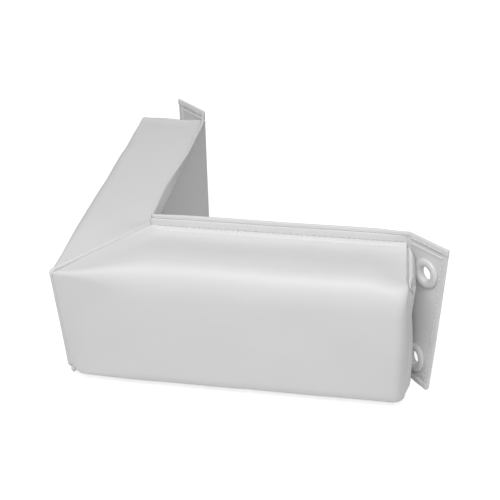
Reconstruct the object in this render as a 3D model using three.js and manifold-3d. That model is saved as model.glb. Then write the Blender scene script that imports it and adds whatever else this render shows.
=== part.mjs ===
// Dock corner bumper: an L-shaped pad that wraps the corner of a dock.
// Two mitred foam blocks sit in vinyl covers that are open towards the dock. One vinyl panel closes their
// backs, stands above and below the padding as a hemmed lip, and runs past both ends as grommeted flanges.
// X runs along the right arm, Y along the left arm and Z up. Sizes are in millimetres, angles in degrees.

import * as THREE from "three";
import { mergeVertices } from "three/addons/utils/BufferGeometryUtils.js";
import Module from "manifold-3d";

const wasm = await Module();
wasm.setup();

// Overall sizes
const armLength = 286; // from the outer corner to the fold where a flange starts
const bodyHeight = 114.3; // padding between the two lip seams
const bodyDepth = 68.5; // outer face to dock face
const lipHeight = 9.5; // how far the back panel stands above and below the padding
const flangeWidth = 42.5;
const sheet = 1; // thickness of the coated vinyl
const gap = 0.3; // clearance between pieces that touch

// Form of the padding, seen across an arm
const topFall = 7; // the flat top lies this much lower than the lip seam
const frontDroop = 3; // the front of the underside hangs this much lower than the lip seam
const topEdge = 26; // length of the soft rounding along the upper front edge
const bottomEdge = 14; // the same along the lower front edge
const frontBulge = 5; // how far the middle of the front swells out
const edgeBulge = 4.4; // how far its upper and lower edges follow
const seamEdge = 3; // rounding of both edges where the mitre seam holds them sharp
const lipFillet = 12; // run of the hollow where the top turns up to the lip seam
const settleLength = 84; // distance from the mitre over which the section reaches its full form
const settleStations = [0.2, 0.45, 0.7, 1]; // shares of that length at which a section is drawn
const sectionSteps = 5; // points along each stretch of a section

// Ends of the arms
const endRounding = 9; // rounding of the upright edge at an arm's end
const endTopRounding = 4; // the same along the end's upper and lower edges
const endSetback = 1.5; // the cover stops this far short of the flange's fold
const endSteps = 5;

// Mitre seam and its tail at the lower corner
const weltWidth = 1.6;
const weltHeight = 0.6;
const tailInset = 1; // from the outer corner to the tail, along the mitre
const tailLength = 9;
const tailDrop = 4;
const tailThickness = 1.6;

// Turned-up edge of each cover, in front of the lip
const turnUp = 5.2;

// Pleat that takes up the slack of the cover at the upper end of an arm
const pleatWidth = 11;
const pleatHeight = 38;
const pleatSwell = 3;
const pleatTop = 9; // from the lip seam down to the pleat
const pleatBack = 13; // from the dock face to the pleat

// Hems of the back panel, folded onto its front
const hemThickness = 3;
const armHem = 3.2; // height of the hem along the arms
const flangeHem = 5.2; // height of the hem along the flanges
const sideHem = 5; // width of the hem along the upright edge of a flange
const hemBevel = 0.8;
const hemStep = 0.4; // run of the small slope where a hem ends
const hemSpread = 2; // run past a fold over which the hem widens
const panelRows = 7; // rows between the hems, which carry the twist of a flange

// Grommets
const grommetRadius = 13;
const holeRadius = 6;
const barrelWall = 1.2;
const grommetRise = 3; // height of the domed ring above its seat
const ringEdge = 0.6; // thickness of the ring at its rim
const rimRadius = 8.6; // rolled rim that holds the washer
const rimThickness = 1;
const washerRadius = 11;
const washerThickness = 1.2;
const washerBevel = 0.4;
const grommetInset = 21.5; // from the flange's fold to the middle of a grommet
const grommetGap = 0.6; // room under a flat ring or washer for the twist of the flange
const grommetSegments = 28;
const domeSteps = 6;
const grommetHeights = [
  { name: "upper", height: bodyHeight + 2 * lipHeight - 30 },
  { name: "lower", height: 22 },
];

// The two arms mirror each other, apart from how their soft ends and flanges are bent
const arms = [
  { name: "right", flangeTop: 39, flangeBottom: 56, endOverhang: 5 },
  { name: "left", flangeTop: 49, flangeBottom: 49, endOverhang: 12 },
];

// Places that follow from the sizes
const panelHeight = bodyHeight + 2 * lipHeight;
const coverBack = bodyDepth - sheet - gap; // back edge of a cover, against the panel
const seamShift = gap * Math.SQRT1_2; // each arm keeps this far from the mitre plane, measured along the arm
const coverEnd = armLength - endSetback;
const foldDistance = armLength - bodyDepth; // inner corner to a fold, along the dock face
const barrelOuter = holeRadius + barrelWall;
const cutThrough = 3; // how far a cutting body passes through what it cuts

// Materials
const vinylLook = { color: 0xd6d6d6, roughness: 0.5, metalness: 0 };
const foamLook = { color: 0xe9e6dc, roughness: 0.95, metalness: 0 };
const grommetLook = { color: 0xe2e2e2, roughness: 0.35, metalness: 0 };

const radians = THREE.MathUtils.degToRad;
const lerp = THREE.MathUtils.lerp;

// A point of an arm: distance along it from the outer corner, distance in from its outer face, and height.
function place(arm, along, across, height) {
  const right = arm.name === "right";
  return new THREE.Vector3(right ? along : across, right ? across : along, height);
}

// A closed geometry as a solid, turned the right way out.
function solidFrom(geometry) {
  const bare = geometry.index ? geometry.toNonIndexed() : geometry.clone();
  bare.deleteAttribute("normal");
  bare.deleteAttribute("uv");
  const merged = mergeVertices(bare, 1e-4);
  const corners = new Uint32Array(merged.index.array);
  const build = () =>
    new wasm.Manifold(
      new wasm.Mesh({ numProp: 3, vertProperties: merged.attributes.position.array, triVerts: corners }),
    );
  const solid = build();
  if (solid.volume() > 0) return solid;
  for (let i = 0; i < corners.length; i += 3) {
    const second = corners[i + 1];
    corners[i + 1] = corners[i + 2];
    corners[i + 2] = second;
  }
  return build();
}

// A solid skinned over a row of rings with equal numbers of points, closed at both ends.
function loft(rings) {
  const size = rings[0].length;
  const middles = [rings[0], rings[rings.length - 1]].map((ring) =>
    ring.reduce((sum, point) => sum.add(point), new THREE.Vector3()).divideScalar(size),
  );
  const points = [...rings.flat(), ...middles];
  const faces = [];
  const first = points.length - 2;
  const last = points.length - 1;
  const top = (rings.length - 1) * size;
  for (let i = 0; i < size; i++) {
    const next = (i + 1) % size;
    for (let row = 0; row < top; row += size) {
      faces.push(row + i, row + next, row + size + i);
      faces.push(row + next, row + size + next, row + size + i);
    }
    faces.push(first, next, i);
    faces.push(last, top + i, top + next);
  }
  const geometry = new THREE.BufferGeometry().setFromPoints(points);
  geometry.setIndex(faces);
  return solidFrom(geometry);
}

// Section of the padding as [distance in from the outer face, height above the lower lip seam].
// settled is 0 at the mitre and 1 along the arm; rounded is 0 along the arm and 1 at its end.
function sectionPoints(settled, rounded, inset) {
  const front = inset + endRounding * rounded - edgeBulge * settled;
  const swell = (frontBulge - edgeBulge) * settled;
  const shrink = inset + endTopRounding * rounded;
  const low = shrink - frontDroop * settled;
  const high = bodyHeight - topFall - shrink;
  const used = inset + endRounding * rounded;
  const topRun = Math.max(lerp(seamEdge, topEdge, settled) - used, 1);
  const bottomRun = Math.max(lerp(seamEdge, bottomEdge, settled) - used, 1);
  const topStart = front + topRun;
  const run = coverBack - topStart;
  const seam = bodyHeight - shrink;

  const path = new THREE.Path();
  path.moveTo(coverBack, shrink);
  path.quadraticCurveTo((coverBack + front + bottomRun) / 2, low, front + bottomRun, low);
  path.quadraticCurveTo(front, low, front, low + bottomRun);
  path.quadraticCurveTo(front - 2 * swell, (low + high) / 2, front, high - topRun);
  path.quadraticCurveTo(front, high, topStart, high);
  path.bezierCurveTo(
    topStart + run / 2,
    lerp((high + seam) / 2, high, settled),
    coverBack - lipFillet,
    lerp(lerp(seam, high, lipFillet / run), high, settled),
    coverBack,
    seam,
  );
  return path.getPoints(sectionSteps);
}

// One arm's padded body, inset from the cover's outside. open lengthens it through the mitre and the back,
// so that it can hollow out a cover.
function armBody(arm, inset, open, welt = 0) {
  const end = coverEnd - inset;
  const rounding = endRounding - inset;
  const stations = [];
  if (open > 0) stations.push({ at: -open, settled: 0, rounded: 0, inset });
  if (welt > 0) {
    stations.push({ at: 0, settled: 0, rounded: 0, inset: -welt });
    stations.push({ at: weltWidth, settled: 0, rounded: 0, inset: -welt });
    stations.push({ at: weltWidth + welt / 2, settled: 0, rounded: 0, inset });
  } else {
    stations.push({ at: 0, settled: 0, rounded: 0, inset });
  }
  for (const share of settleStations) {
    const settled = THREE.MathUtils.smoothstep(share, 0, 1);
    stations.push({ at: share * settleLength, settled, rounded: 0, inset });
  }
  for (let i = 0; i <= endSteps; i++) {
    const turn = (i / endSteps) * (Math.PI / 2);
    const at = end - rounding * (1 - Math.sin(turn));
    stations.push({ at, settled: 1, rounded: 1 - Math.cos(turn), inset });
  }
  const rings = stations.map(({ at, settled, rounded, inset: depth }) => {
    const mitred = THREE.MathUtils.clamp(1 - at / settleLength, 0, 1); // 1 along the mitre, 0 square across
    const lean = Math.max((at - settleLength) / (coverEnd - settleLength), 0);
    const section = sectionPoints(settled, rounded, depth).map(({ x, y }) => [x, y]);
    if (open > 0) {
      section.unshift([coverBack + open, section[0][1]]);
      section.push([coverBack + open, section[section.length - 1][1]]);
    }
    return section.map(([across, height]) => {
      const along = at + (seamShift + across) * mitred;
      const overhang = arm.endOverhang * lean * (1 - across / bodyDepth);
      return place(arm, along + overhang, across, height + lipHeight);
    });
  });
  return loft(rings);
}

// Strip of the cover that turns up, or down, in front of the lip.
function turnedEdge(arm, low, high) {
  const front = coverBack - sheet;
  const outline = [
    [front + seamShift, front],
    [coverEnd, front],
    [coverEnd, coverBack],
    [coverBack + seamShift, coverBack],
  ];
  const ringAt = (height) => outline.map(([along, across]) => place(arm, along, across, height));
  return loft([ringAt(low), ringAt(high)]);
}

// Swollen upright fold beside the flange, rounded at its lower end like a U.
function pleat(arm) {
  const half = pleatWidth / 2;
  const top = bodyHeight - pleatTop;
  const bottom = top - pleatHeight;
  const outline = new THREE.Shape();
  outline.moveTo(-half, top);
  outline.lineTo(-half, bottom + half);
  outline.absarc(0, bottom + half, half, Math.PI, 2 * Math.PI, false);
  outline.lineTo(half, top);
  const edge = 0.35 * pleatSwell;
  const raised = new THREE.ExtrudeGeometry(outline, {
    depth: pleatSwell - edge,
    bevelThickness: edge,
    bevelSize: edge,
    bevelOffset: -edge,
    bevelSegments: 2,
    curveSegments: 5,
  });
  const middle = bodyDepth - pleatBack - half;
  const seat = coverEnd - sheet / 2 + edge;
  const position = raised.attributes.position;
  for (let i = 0; i < position.count; i++) {
    const across = middle + position.getX(i);
    const along = seat + arm.endOverhang * (1 - across / bodyDepth) + position.getZ(i);
    const point = place(arm, along, across, position.getY(i) + lipHeight);
    position.setXYZ(i, point.x, point.y, point.z);
  }
  return solidFrom(raised);
}

// Loose tail of the mitre seam that shows below the outer corner.
function seamTail() {
  const along = new THREE.Vector3(Math.SQRT1_2, Math.SQRT1_2, 0);
  const side = new THREE.Vector3(Math.SQRT1_2, -Math.SQRT1_2, 0);
  const base = lipHeight + sheet / 2;
  const outline = [
    [tailInset, base],
    [tailLength, base],
    [tailLength / 3, lipHeight - tailDrop],
    [tailInset, lipHeight - tailDrop],
  ];
  const faces = [gap, gap + tailThickness].map((shift) =>
    outline.map(([inward, height]) => {
      const point = along.clone().multiplyScalar(inward).addScaledVector(side, shift);
      return point.setZ(height);
    }),
  );
  return loft(faces);
}

// Vinyl cover of one arm, open at the mitre and towards the dock.
function armCover(arm) {
  const welt = arm.name === "left" ? weltHeight : 0;
  const shell = armBody(arm, 0, 0, welt).subtract(armBody(arm, sheet, cutThrough));
  const upperEdge = turnedEdge(arm, lipHeight + bodyHeight - sheet, lipHeight + bodyHeight + turnUp);
  const lowerEdge = turnedEdge(arm, lipHeight - turnUp, lipHeight + sheet);
  const cover = shell.add(upperEdge).add(lowerEdge).add(pleat(arm));
  return arm.name === "right" ? cover.add(seamTail()) : cover;
}

// Bend of a flange out of the dock face, at a height on the panel.
function flangeBend(arm, height) {
  return radians(lerp(arm.flangeBottom, arm.flangeTop, height / panelHeight));
}

// A point of the back panel: distance from the inner corner, height, and distance in front of the dock face.
function panelPoint(arm, distance, height, forward) {
  if (distance === 0) return place(arm, bodyDepth - forward, bodyDepth - forward, height);
  if (distance < foldDistance) return place(arm, bodyDepth + distance, bodyDepth - forward, height);
  const bend = flangeBend(arm, height);
  if (distance === foldDistance) {
    return place(arm, armLength - forward * Math.tan(bend / 2), bodyDepth - forward, height);
  }
  const out = distance - foldDistance;
  const along = armLength + out * Math.cos(bend) - forward * Math.sin(bend);
  const across = bodyDepth - out * Math.sin(bend) - forward * Math.cos(bend);
  return place(arm, along, across, height);
}

// Upright slice of the panel at a distance from the inner corner. Hems thicken it at both ends.
function panelRing(arm, distance, hem, full) {
  const thin = full ? hemThickness : sheet;
  const rows = [
    [0, hemThickness - hemBevel],
    [hemBevel, hemThickness],
    [hem, hemThickness],
    [hem + hemStep, thin],
  ];
  for (let i = 1; i <= panelRows; i++) rows.push([(panelHeight * i) / (panelRows + 1), thin]);
  rows.push([panelHeight - hem - hemStep, thin]);
  rows.push([panelHeight - hem, hemThickness]);
  rows.push([panelHeight - hemBevel, hemThickness]);
  rows.push([panelHeight, hemThickness - hemBevel]);
  const front = rows.map(([height, forward]) => panelPoint(arm, distance, height, forward));
  const back = rows.map(([height]) => panelPoint(arm, distance, height, 0)).reverse();
  return [...front, ...back];
}

// Place and direction of a grommet: its middle on the dock face of the flange, and the way its ring faces.
function grommetSeat(arm, height) {
  const distance = foldDistance + grommetInset;
  const centre = panelPoint(arm, distance, height, 0);
  const outward = panelPoint(arm, distance + 1, height, 0).sub(centre);
  const upward = panelPoint(arm, distance, height + 1, 0).sub(centre);
  const facing = outward.cross(upward).normalize();
  if (facing.dot(panelPoint(arm, distance, height, 1).sub(centre)) < 0) facing.negate();
  return { centre, facing };
}

// Turns a geometry that stands along +Y so that it stands along the grommet's axis.
function seated(geometry, { centre, facing }) {
  const turn = new THREE.Quaternion().setFromUnitVectors(new THREE.Vector3(0, 1, 0), facing);
  return geometry.applyQuaternion(turn).translate(centre.x, centre.y, centre.z);
}

// The one sheet behind both arms, with its hems, flanges and grommet holes.
function backPanel() {
  const tip = foldDistance + flangeWidth;
  const stops = [
    { distance: foldDistance, hem: armHem, full: false },
    { distance: foldDistance + hemSpread, hem: flangeHem, full: false },
    { distance: tip - sideHem - hemStep, hem: flangeHem, full: false },
    { distance: tip - sideHem, hem: flangeHem, full: true },
    { distance: tip, hem: flangeHem, full: true },
  ];
  const rings = arms.map((arm) => stops.map((stop) => panelRing(arm, stop.distance, stop.hem, stop.full)));
  const corner = panelRing(arms[0], 0, armHem, false);
  let panel = loft([...rings[1].reverse(), corner, ...rings[0]]);
  for (const arm of arms) {
    for (const { height } of grommetHeights) {
      const radius = barrelOuter + gap;
      const hole = new THREE.CylinderGeometry(radius, radius, 2 * (sheet + cutThrough), grommetSegments);
      panel = panel.subtract(solidFrom(seated(hole, grommetSeat(arm, height))));
    }
  }
  return panel;
}

// A turned piece from [radius, height] pairs that close on themselves.
function turned(profile) {
  const points = [...profile, profile[0]].map(([radius, height]) => new THREE.Vector2(radius, height));
  return new THREE.LatheGeometry(points, grommetSegments);
}

// Domed ring, barrel through the flange and rolled rim behind the washer, in one piece.
function grommetGeometry() {
  const seat = sheet + grommetGap;
  const behind = -(grommetGap + washerThickness + gap);
  const dome = [];
  const middle = (grommetRadius + holeRadius) / 2;
  const half = (grommetRadius - holeRadius) / 2;
  for (let i = 0; i <= domeSteps; i++) {
    const turn = (i / domeSteps) * Math.PI;
    dome.push([middle + half * Math.cos(turn), seat + ringEdge + (grommetRise - ringEdge) * Math.sin(turn)]);
  }
  return turned([
    [grommetRadius - ringEdge, seat],
    ...dome,
    [holeRadius, behind - rimThickness],
    [rimRadius, behind - rimThickness],
    [rimRadius, behind],
    [barrelOuter, behind],
    [barrelOuter, seat],
  ]);
}

// Flat ring between the flange's dock side and the rolled rim.
function washerGeometry() {
  const inner = barrelOuter + gap;
  return turned([
    [inner, -grommetGap],
    [inner, -grommetGap - washerThickness],
    [washerRadius - washerBevel, -grommetGap - washerThickness],
    [washerRadius, -grommetGap - washerThickness / 2],
    [washerRadius, -grommetGap],
  ]);
}

// A named mesh from a solid.
function meshOf(name, solid, look) {
  const { numProp, vertProperties, triVerts } = solid.getMesh();
  const position = new THREE.BufferAttribute(new Float32Array(vertProperties), numProp);
  const geometry = new THREE.BufferGeometry().setAttribute("position", position);
  geometry.setIndex(new THREE.BufferAttribute(new Uint32Array(triVerts), 1));
  geometry.computeVertexNormals();
  const mesh = new THREE.Mesh(geometry, new THREE.MeshStandardMaterial(look));
  mesh.name = name;
  return mesh;
}

const bumper = new THREE.Group();
bumper.add(meshOf("back_panel", backPanel(), vinylLook));
for (const arm of arms) {
  bumper.add(meshOf(`${arm.name}_arm_cover`, armCover(arm), vinylLook));
  bumper.add(meshOf(`${arm.name}_foam_core`, armBody(arm, sheet + gap, 0), foamLook));
  for (const { name, height } of grommetHeights) {
    const seat = grommetSeat(arm, height);
    const ring = solidFrom(seated(grommetGeometry(), seat));
    const washer = solidFrom(seated(washerGeometry(), seat));
    bumper.add(meshOf(`${arm.name}_${name}_grommet`, ring, grommetLook));
    bumper.add(meshOf(`${arm.name}_${name}_washer`, washer, grommetLook));
  }
}

// The origin lies under the middle of the whole object, where it stands on its lower hem.
const box = new THREE.Box3().setFromObject(bumper);
const middle = box.getCenter(new THREE.Vector3());
bumper.position.set(-middle.x, -middle.y, -box.min.z);

const dockCornerBumper = new THREE.Group();
dockCornerBumper.add(bumper);

export default dockCornerBumper;
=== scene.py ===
"""Dock corner bumper: an L-shaped vinyl pad that wraps the corner of a dock, on a plain stage."""

import math

import bmesh
import bpy
import numpy as np
from bpy.props import FloatProperty, FloatVectorProperty, IntProperty, PointerProperty
from mathutils import Matrix, Vector


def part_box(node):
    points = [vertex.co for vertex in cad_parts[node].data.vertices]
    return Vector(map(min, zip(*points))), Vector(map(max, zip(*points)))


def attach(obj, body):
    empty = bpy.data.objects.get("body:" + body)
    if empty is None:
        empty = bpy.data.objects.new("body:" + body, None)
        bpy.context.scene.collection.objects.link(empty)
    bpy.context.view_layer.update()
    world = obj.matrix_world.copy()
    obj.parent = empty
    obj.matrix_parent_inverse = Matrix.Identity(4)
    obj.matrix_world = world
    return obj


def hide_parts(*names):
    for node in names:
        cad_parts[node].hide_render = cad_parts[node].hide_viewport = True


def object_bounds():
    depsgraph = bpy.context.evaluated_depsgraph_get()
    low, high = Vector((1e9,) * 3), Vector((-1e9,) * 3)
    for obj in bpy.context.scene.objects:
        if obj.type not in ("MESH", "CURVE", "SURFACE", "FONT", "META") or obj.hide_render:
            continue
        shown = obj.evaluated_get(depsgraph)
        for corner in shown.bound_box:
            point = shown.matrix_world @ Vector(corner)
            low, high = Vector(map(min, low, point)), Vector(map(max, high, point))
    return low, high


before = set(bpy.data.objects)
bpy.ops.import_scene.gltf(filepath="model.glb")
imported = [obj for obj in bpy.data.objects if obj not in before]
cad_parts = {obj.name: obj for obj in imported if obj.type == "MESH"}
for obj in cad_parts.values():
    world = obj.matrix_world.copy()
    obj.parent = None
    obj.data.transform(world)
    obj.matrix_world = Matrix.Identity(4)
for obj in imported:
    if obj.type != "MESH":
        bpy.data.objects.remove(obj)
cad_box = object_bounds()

bl_info = {
    "name": "Dock corner bumper",
    "version": (1, 0, 0),
    "blender": (4, 5, 0),
    "location": "3D View > Sidebar > Bumper",
    "description": "Makes the pieces, the finishes and the stage of a padded dock corner bumper",
    "category": "Add Mesh",
}

MM = 0.001
ARMS = ("right", "left")
LEVELS = ("upper", "lower")
DIAGONAL = math.sqrt(0.5)


def length(name, millimetres, description):
    """A length, with its default given in millimetres."""
    return FloatProperty(
        name=name, description=description, default=millimetres * MM, unit="LENGTH", precision=5
    )


def angle(name, degrees, description):
    """An angle, with its default given in degrees."""
    return FloatProperty(
        name=name, description=description, default=math.radians(degrees), subtype="ANGLE"
    )


def share(name, default, description):
    """A share from 0 to 1."""
    return FloatProperty(
        name=name, description=description, default=default, min=0.0, max=1.0, subtype="FACTOR"
    )


def number(name, default, description):
    """A plain number."""
    return FloatProperty(name=name, description=description, default=default)


def colour(name, default, description):
    """A colour."""
    return FloatVectorProperty(
        name=name, description=description, default=default, size=3, min=0.0, max=1.0,
        subtype="COLOR",
    )


class PaddingSizes(bpy.types.PropertyGroup):
    """Sizes of the padded arms, as the solids have them."""

    arm_length: length("Arm length", 286, "From the outer corner to the fold where a flange starts")
    body_height: length("Padding height", 114.3, "Padding between its two lip seams")
    body_depth: length("Padding depth", 68.5, "Outer face to dock face")
    sheet: length("Vinyl", 1, "Thickness of the coated vinyl")
    gap: length("Gap", 0.3, "Clearance between pieces that touch")
    top_fall: length("Top fall", 7, "How much lower the flat top lies than the lip seam")
    front_droop: length("Front droop", 3.7, "How much lower the front of the underside hangs")
    right_top_edge: length("Right top edge", 27, "Height of the right front's upper rounding")
    left_top_edge: length("Left top edge", 16, "Height of the left front's upper rounding")
    right_top_run: length("Right top run", 18, "Depth of the right front's upper rounding")
    left_top_run: length("Left top run", 15, "Depth of the left front's upper rounding")
    bottom_edge: length("Bottom edge", 14, "Rounding along the lower front edge")
    front_bulge: length("Front bulge", 5, "How far the middle of the front swells out")
    edge_bulge: length("Edge bulge", 4.4, "How far the upper and lower edges follow the bulge")
    seam_edge: length("Seam edge", 3, "Rounding where the mitre seam holds the edges sharp")
    lip_fillet: length("Lip hollow", 12, "Run of the hollow where the top turns up to the lip seam")
    settle_length: length("Settle length", 84, "Distance from the mitre to the full section")
    right_end_rounding: length("Right end rounding", 9, "Rounding of the right end's upright edge")
    left_end_rounding: length("Left end rounding", 3, "Rounding of the left end's upright edge")
    right_end_top: length("Right end top", 4, "Rounding of the right end's other edges")
    left_end_top: length("Left end top", 0.8, "Rounding of the left end's other edges")
    far_corner_run: length("Far corner run", 60, "Run over which the left top edge sharpens")
    far_corner_lift: length("Far corner lift", 2, "How far the left end's upper edge stands up")
    end_setback: length("End setback", 1.5, "How far short of the fold the cover stops")
    right_overhang: length("Right overhang", 5, "How far the front of the right end leans out")
    left_overhang: length("Left overhang", 12, "How far the front of the left end leans out")


class SoftnessSizes(bpy.types.PropertyGroup):
    """How the soft covers settle over their foam."""

    slack: length("Slack", 1.2, "How much smaller the skin starts before it swells")
    swell_limit: length("Swell limit", 3, "The most that the skin may move as it settles")
    pressure: number("Pressure", 2.0, "Push of the foam on the skin")
    settle_frames: IntProperty(
        name="Settle frames", description="Steps of the settling", default=20, min=2, max=60
    )
    crown: length("Crown", 5.9, "How far the front half of the top swells up")
    crown_place: length("Crown place", 20.6, "From the outer face to the middle of the crown")
    crown_width: length("Crown width", 25.5, "Half width of the crown")
    hollow: length("Hollow", 0.9, "How far the top sinks in front of the lip")
    hollow_place: length("Hollow place", 57.4, "From the outer face to the middle of the hollow")
    hollow_width: length("Hollow width", 8.4, "Half width of the hollow")
    pinch: length("Pinch", 1.3, "How far the skin swells beside the mitre seam")
    corner_drop: length("Corner drop", 5.5, "How far the top falls at the outer corner")
    corner_lift: length("Corner lift", 4.6, "How far the underside rises at the outer corner")
    corner_out: length("Corner out", 2.4, "How far the upper outer corner stands out")
    corner_in: length("Corner in", 5.6, "How far the lower outer corner tucks in")
    corner_fade: length("Corner fade", 45, "Distance over which the upper corner's pull fades")
    foot_fade: length("Foot fade", 9, "Distance over which the lower corner's lift fades")
    end_swell: length("End swell", 5.6, "How far the end wall swells over the flange")
    right_roll: length("Right roll", 1.5, "How far the right end wall's upper edge rolls up")
    left_roll: length("Left roll", 0.6, "How far the left end wall's upper edge rolls up")
    crease: length("Crease", 4.5, "Depth of the crease between the top and that roll")
    undercut: length("Undercut", 2.6, "How far the crease runs in under the top")
    slit_place: length("Slit place", 17.5, "From the outer face to the crease's hole")
    slit_depth: length("Slit depth", 7, "Depth of that hole")
    corner_dip: length("Corner dip", 1.0, "How far the top sinks beside that hole")
    ripple: length("Ripple", 0.09, "Height of the faint ripples in the front")


class PanelSizes(bpy.types.PropertyGroup):
    """Sizes of the back panel, its lip, hems and flanges."""

    lip_height: length("Lip height", 9.5, "How far the panel stands above and below the padding")
    flange_width: length("Flange width", 42.5, "From a fold to the flange's free edge")
    right_flange_top: angle("Right flange, top", 39, "Bend of the right flange at its top")
    right_flange_bottom: angle("Right flange, bottom", 56, "Bend of the right flange at its foot")
    left_flange_top: angle("Left flange, top", 49, "Bend of the left flange at its top")
    left_flange_bottom: angle("Left flange, bottom", 49, "Bend of the left flange at its foot")
    flange_curl: angle("Flange curl", 15, "How much a flange curls at its foot")
    fold_run: length("Fold run", 5, "Distance over which the panel bends into a flange")
    corner_radius: length("Corner radius", 2, "Rounding of the panel at the inner corner")
    arm_hem: length("Arm hem", 3.2, "Height of the hem along the arms")
    flange_hem: length("Flange hem", 5.2, "Height of the hem along a flange")
    side_hem: length("Side hem", 5, "Width of the hem along a flange's free edge")
    arm_hem_rise: length("Arm hem rise", 1.1, "How far the hem along the arms stands off the sheet")
    hem_rise: length("Hem rise", 1.4, "How far a flange's hem stands off the sheet")
    lip_puff: length("Lip puff", 2.1, "How far the lip swells towards the dock")
    tip_radius: length("Tip radius", 3, "Rounding of a flange's lower outer corner")
    left_lip_lean: length("Left lip lean", 4.4, "How far the left lip leans over the dock")
    flat_length: length("Cut length", 540, "Length of the flat cut, with its side hems")
    flat_height: length("Cut height", 143, "Height of the flat cut, with its upper and lower hems")


class SewingSizes(bpy.types.PropertyGroup):
    """Sizes of the seams, puckers and stitches."""

    turn_up: length("Turned edge", 6, "Height of the cover's edge in front of the lip")
    pucker_spacing: length("Pucker spacing", 3.4, "Distance between the puckers by the lip")
    pucker_depth: length("Pucker depth", 0.35, "Depth of the puckers by the lip")
    seam_groove: length("Seam groove", 0.45, "Depth of the groove under the puckers")
    groove_place: length("Groove place", 5.2, "From the lip seam to the groove under the puckers")
    welt_width: length("Welt width", 3.8, "Width of the ridge along the mitre")
    welt_height: length("Welt height", 1.9, "Height of the ridge along the mitre")
    stitch_length: length("Stitch length", 3.4, "Length of a stitch that shows")
    stitch_pitch: length("Stitch pitch", 4.8, "Distance between stitches")
    thread: length("Thread", 0.65, "Thickness of the thread")
    side_row: length("Side row", 4.6, "From a flange's free edge to its row of stitches")
    tail_length: length("Seam tail", 9, "Length of the loose tail under the outer corner")
    tail_drop: length("Tail drop", 4, "How far the tail hangs below the seam")


class GrommetSizes(bpy.types.PropertyGroup):
    """Sizes of the grommets and their washers."""

    radius: length("Ring radius", 13, "Outside radius of the domed ring")
    hole: length("Hole radius", 6, "Radius of the hole")
    barrel: length("Barrel wall", 1.2, "Wall of the barrel through the sheet")
    rise: length("Rise", 3, "Height of the domed ring above its seat")
    edge: length("Ring edge", 0.6, "Thickness of the ring at its rim")
    rim_radius: length("Rim radius", 8.6, "Radius of the rolled rim behind the washer")
    rim: length("Rim", 1, "Thickness of the rolled rim")
    washer_radius: length("Washer radius", 11, "Outside radius of the washer")
    washer: length("Washer", 1.2, "Thickness of the washer")
    inset: length("Inset", 21.5, "From a flange's fold to the middle of a grommet")
    upper_drop: length("Upper drop", 30, "From the panel's top to the middle of the upper grommet")
    lower_height: length("Lower height", 22, "From the panel's foot to the lower grommet's middle")


class Finishes(bpy.types.PropertyGroup):
    """Colours and surfaces."""

    vinyl: colour("Vinyl", (0.78, 0.78, 0.785), "Colour of the coated vinyl")
    vinyl_roughness: share("Vinyl roughness", 0.46, "Roughness of the coated vinyl")
    grain: length("Grain", 0.5, "Size of the vinyl's fine grain")
    thread: colour("Thread", (0.76, 0.76, 0.755), "Colour of the thread")
    foam: colour("Foam", (0.78, 0.75, 0.66), "Colour of the closed-cell foam")
    plastic: colour("Plastic", (0.76, 0.76, 0.765), "Colour of the grommets and washers")
    plastic_roughness: share("Plastic roughness", 0.3, "Roughness of the grommets and washers")


class StageSettings(bpy.types.PropertyGroup):
    """Floor, light and camera."""

    floor: colour("Floor", (0.86, 0.86, 0.86), "Colour of the floor")
    floor_glow: number("Floor glow", 0.7, "How white the floor is to the camera by itself")
    ambient: number("Ambient", 0.255, "Light from all round")
    key_power: number("Key power", 14.7, "Power of the large soft lamp, in watts")
    key_size: length("Key size", 900, "Width of the large soft lamp")
    key_azimuth: angle("Key azimuth", 1, "Direction of the lamp round the object")
    key_elevation: angle("Key elevation", 57, "Height of the lamp above the horizon")
    key_distance: length("Key distance", 1500, "From the object to the lamp")
    azimuth: angle("Camera azimuth", 10.54, "Direction of the camera round the object")
    elevation: angle("Camera elevation", 30.19, "Height of the camera above the horizon")
    roll: angle("Camera roll", -1.24, "Turn of the camera about its own line of sight")
    distance: length("Camera distance", 1100.94, "From the camera to its target")
    focal: number("Focal length", 86.836, "Focal length for a 36 mm sensor")
    target: FloatVectorProperty(
        name="Target", description="Point that the camera looks at", size=3, unit="LENGTH",
        default=(-17.246 * MM, -22.323 * MM, 66.65 * MM),
    )


# Small sums


def smooth(x):
    """A soft step from 0 to 1."""
    x = np.clip(x, 0.0, 1.0)
    return x * x * (3 - 2 * x)


def mix(a, b, t):
    """What lies between two values, at a share of the way."""
    return a + (b - a) * t


def hump(x):
    """A bell of height 1 and width 1."""
    return np.exp(-np.square(x))


def ramp(value, start, run):
    """A soft step from 0 to 1, over a run that begins at a start."""
    return smooth((value - start) / run)


def bell(value, middle, width):
    """A bell of height 1 round its middle."""
    return hump((value - middle) / width)


def bezier(controls, shares):
    """Points of curves whose controls are columns, at a row of shares."""
    row = list(controls)
    while len(row) > 1:
        row = [a * (1 - shares) + b * shares for a, b in zip(row, row[1:])]
    return row[0]


def spline_weights(places, count):
    """Weights of a smooth curve through a row of values, at places counted along the row."""
    cell = np.clip(np.floor(places).astype(int), 0, count - 2)
    t = places - cell
    basis = ((1 - t) ** 3, 3 * t**3 - 6 * t**2 + 4, -3 * t**3 + 3 * t**2 + 3 * t + 1, t**3)
    weights = np.zeros((len(places), count))
    line = np.arange(len(places))
    for step, values in zip((-1, 0, 1, 2), basis):
        at = cell + step
        inside = (at >= 0) & (at < count)
        np.add.at(weights, (line[inside], at[inside]), values[inside] / 6)
        for off, edge, inner in ((at < 0, 0, 1), (at >= count, count - 1, count - 2)):
            np.add.at(weights, (line[off], edge), 2 * values[off] / 6)
            np.add.at(weights, (line[off], inner), -values[off] / 6)
    return weights


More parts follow.
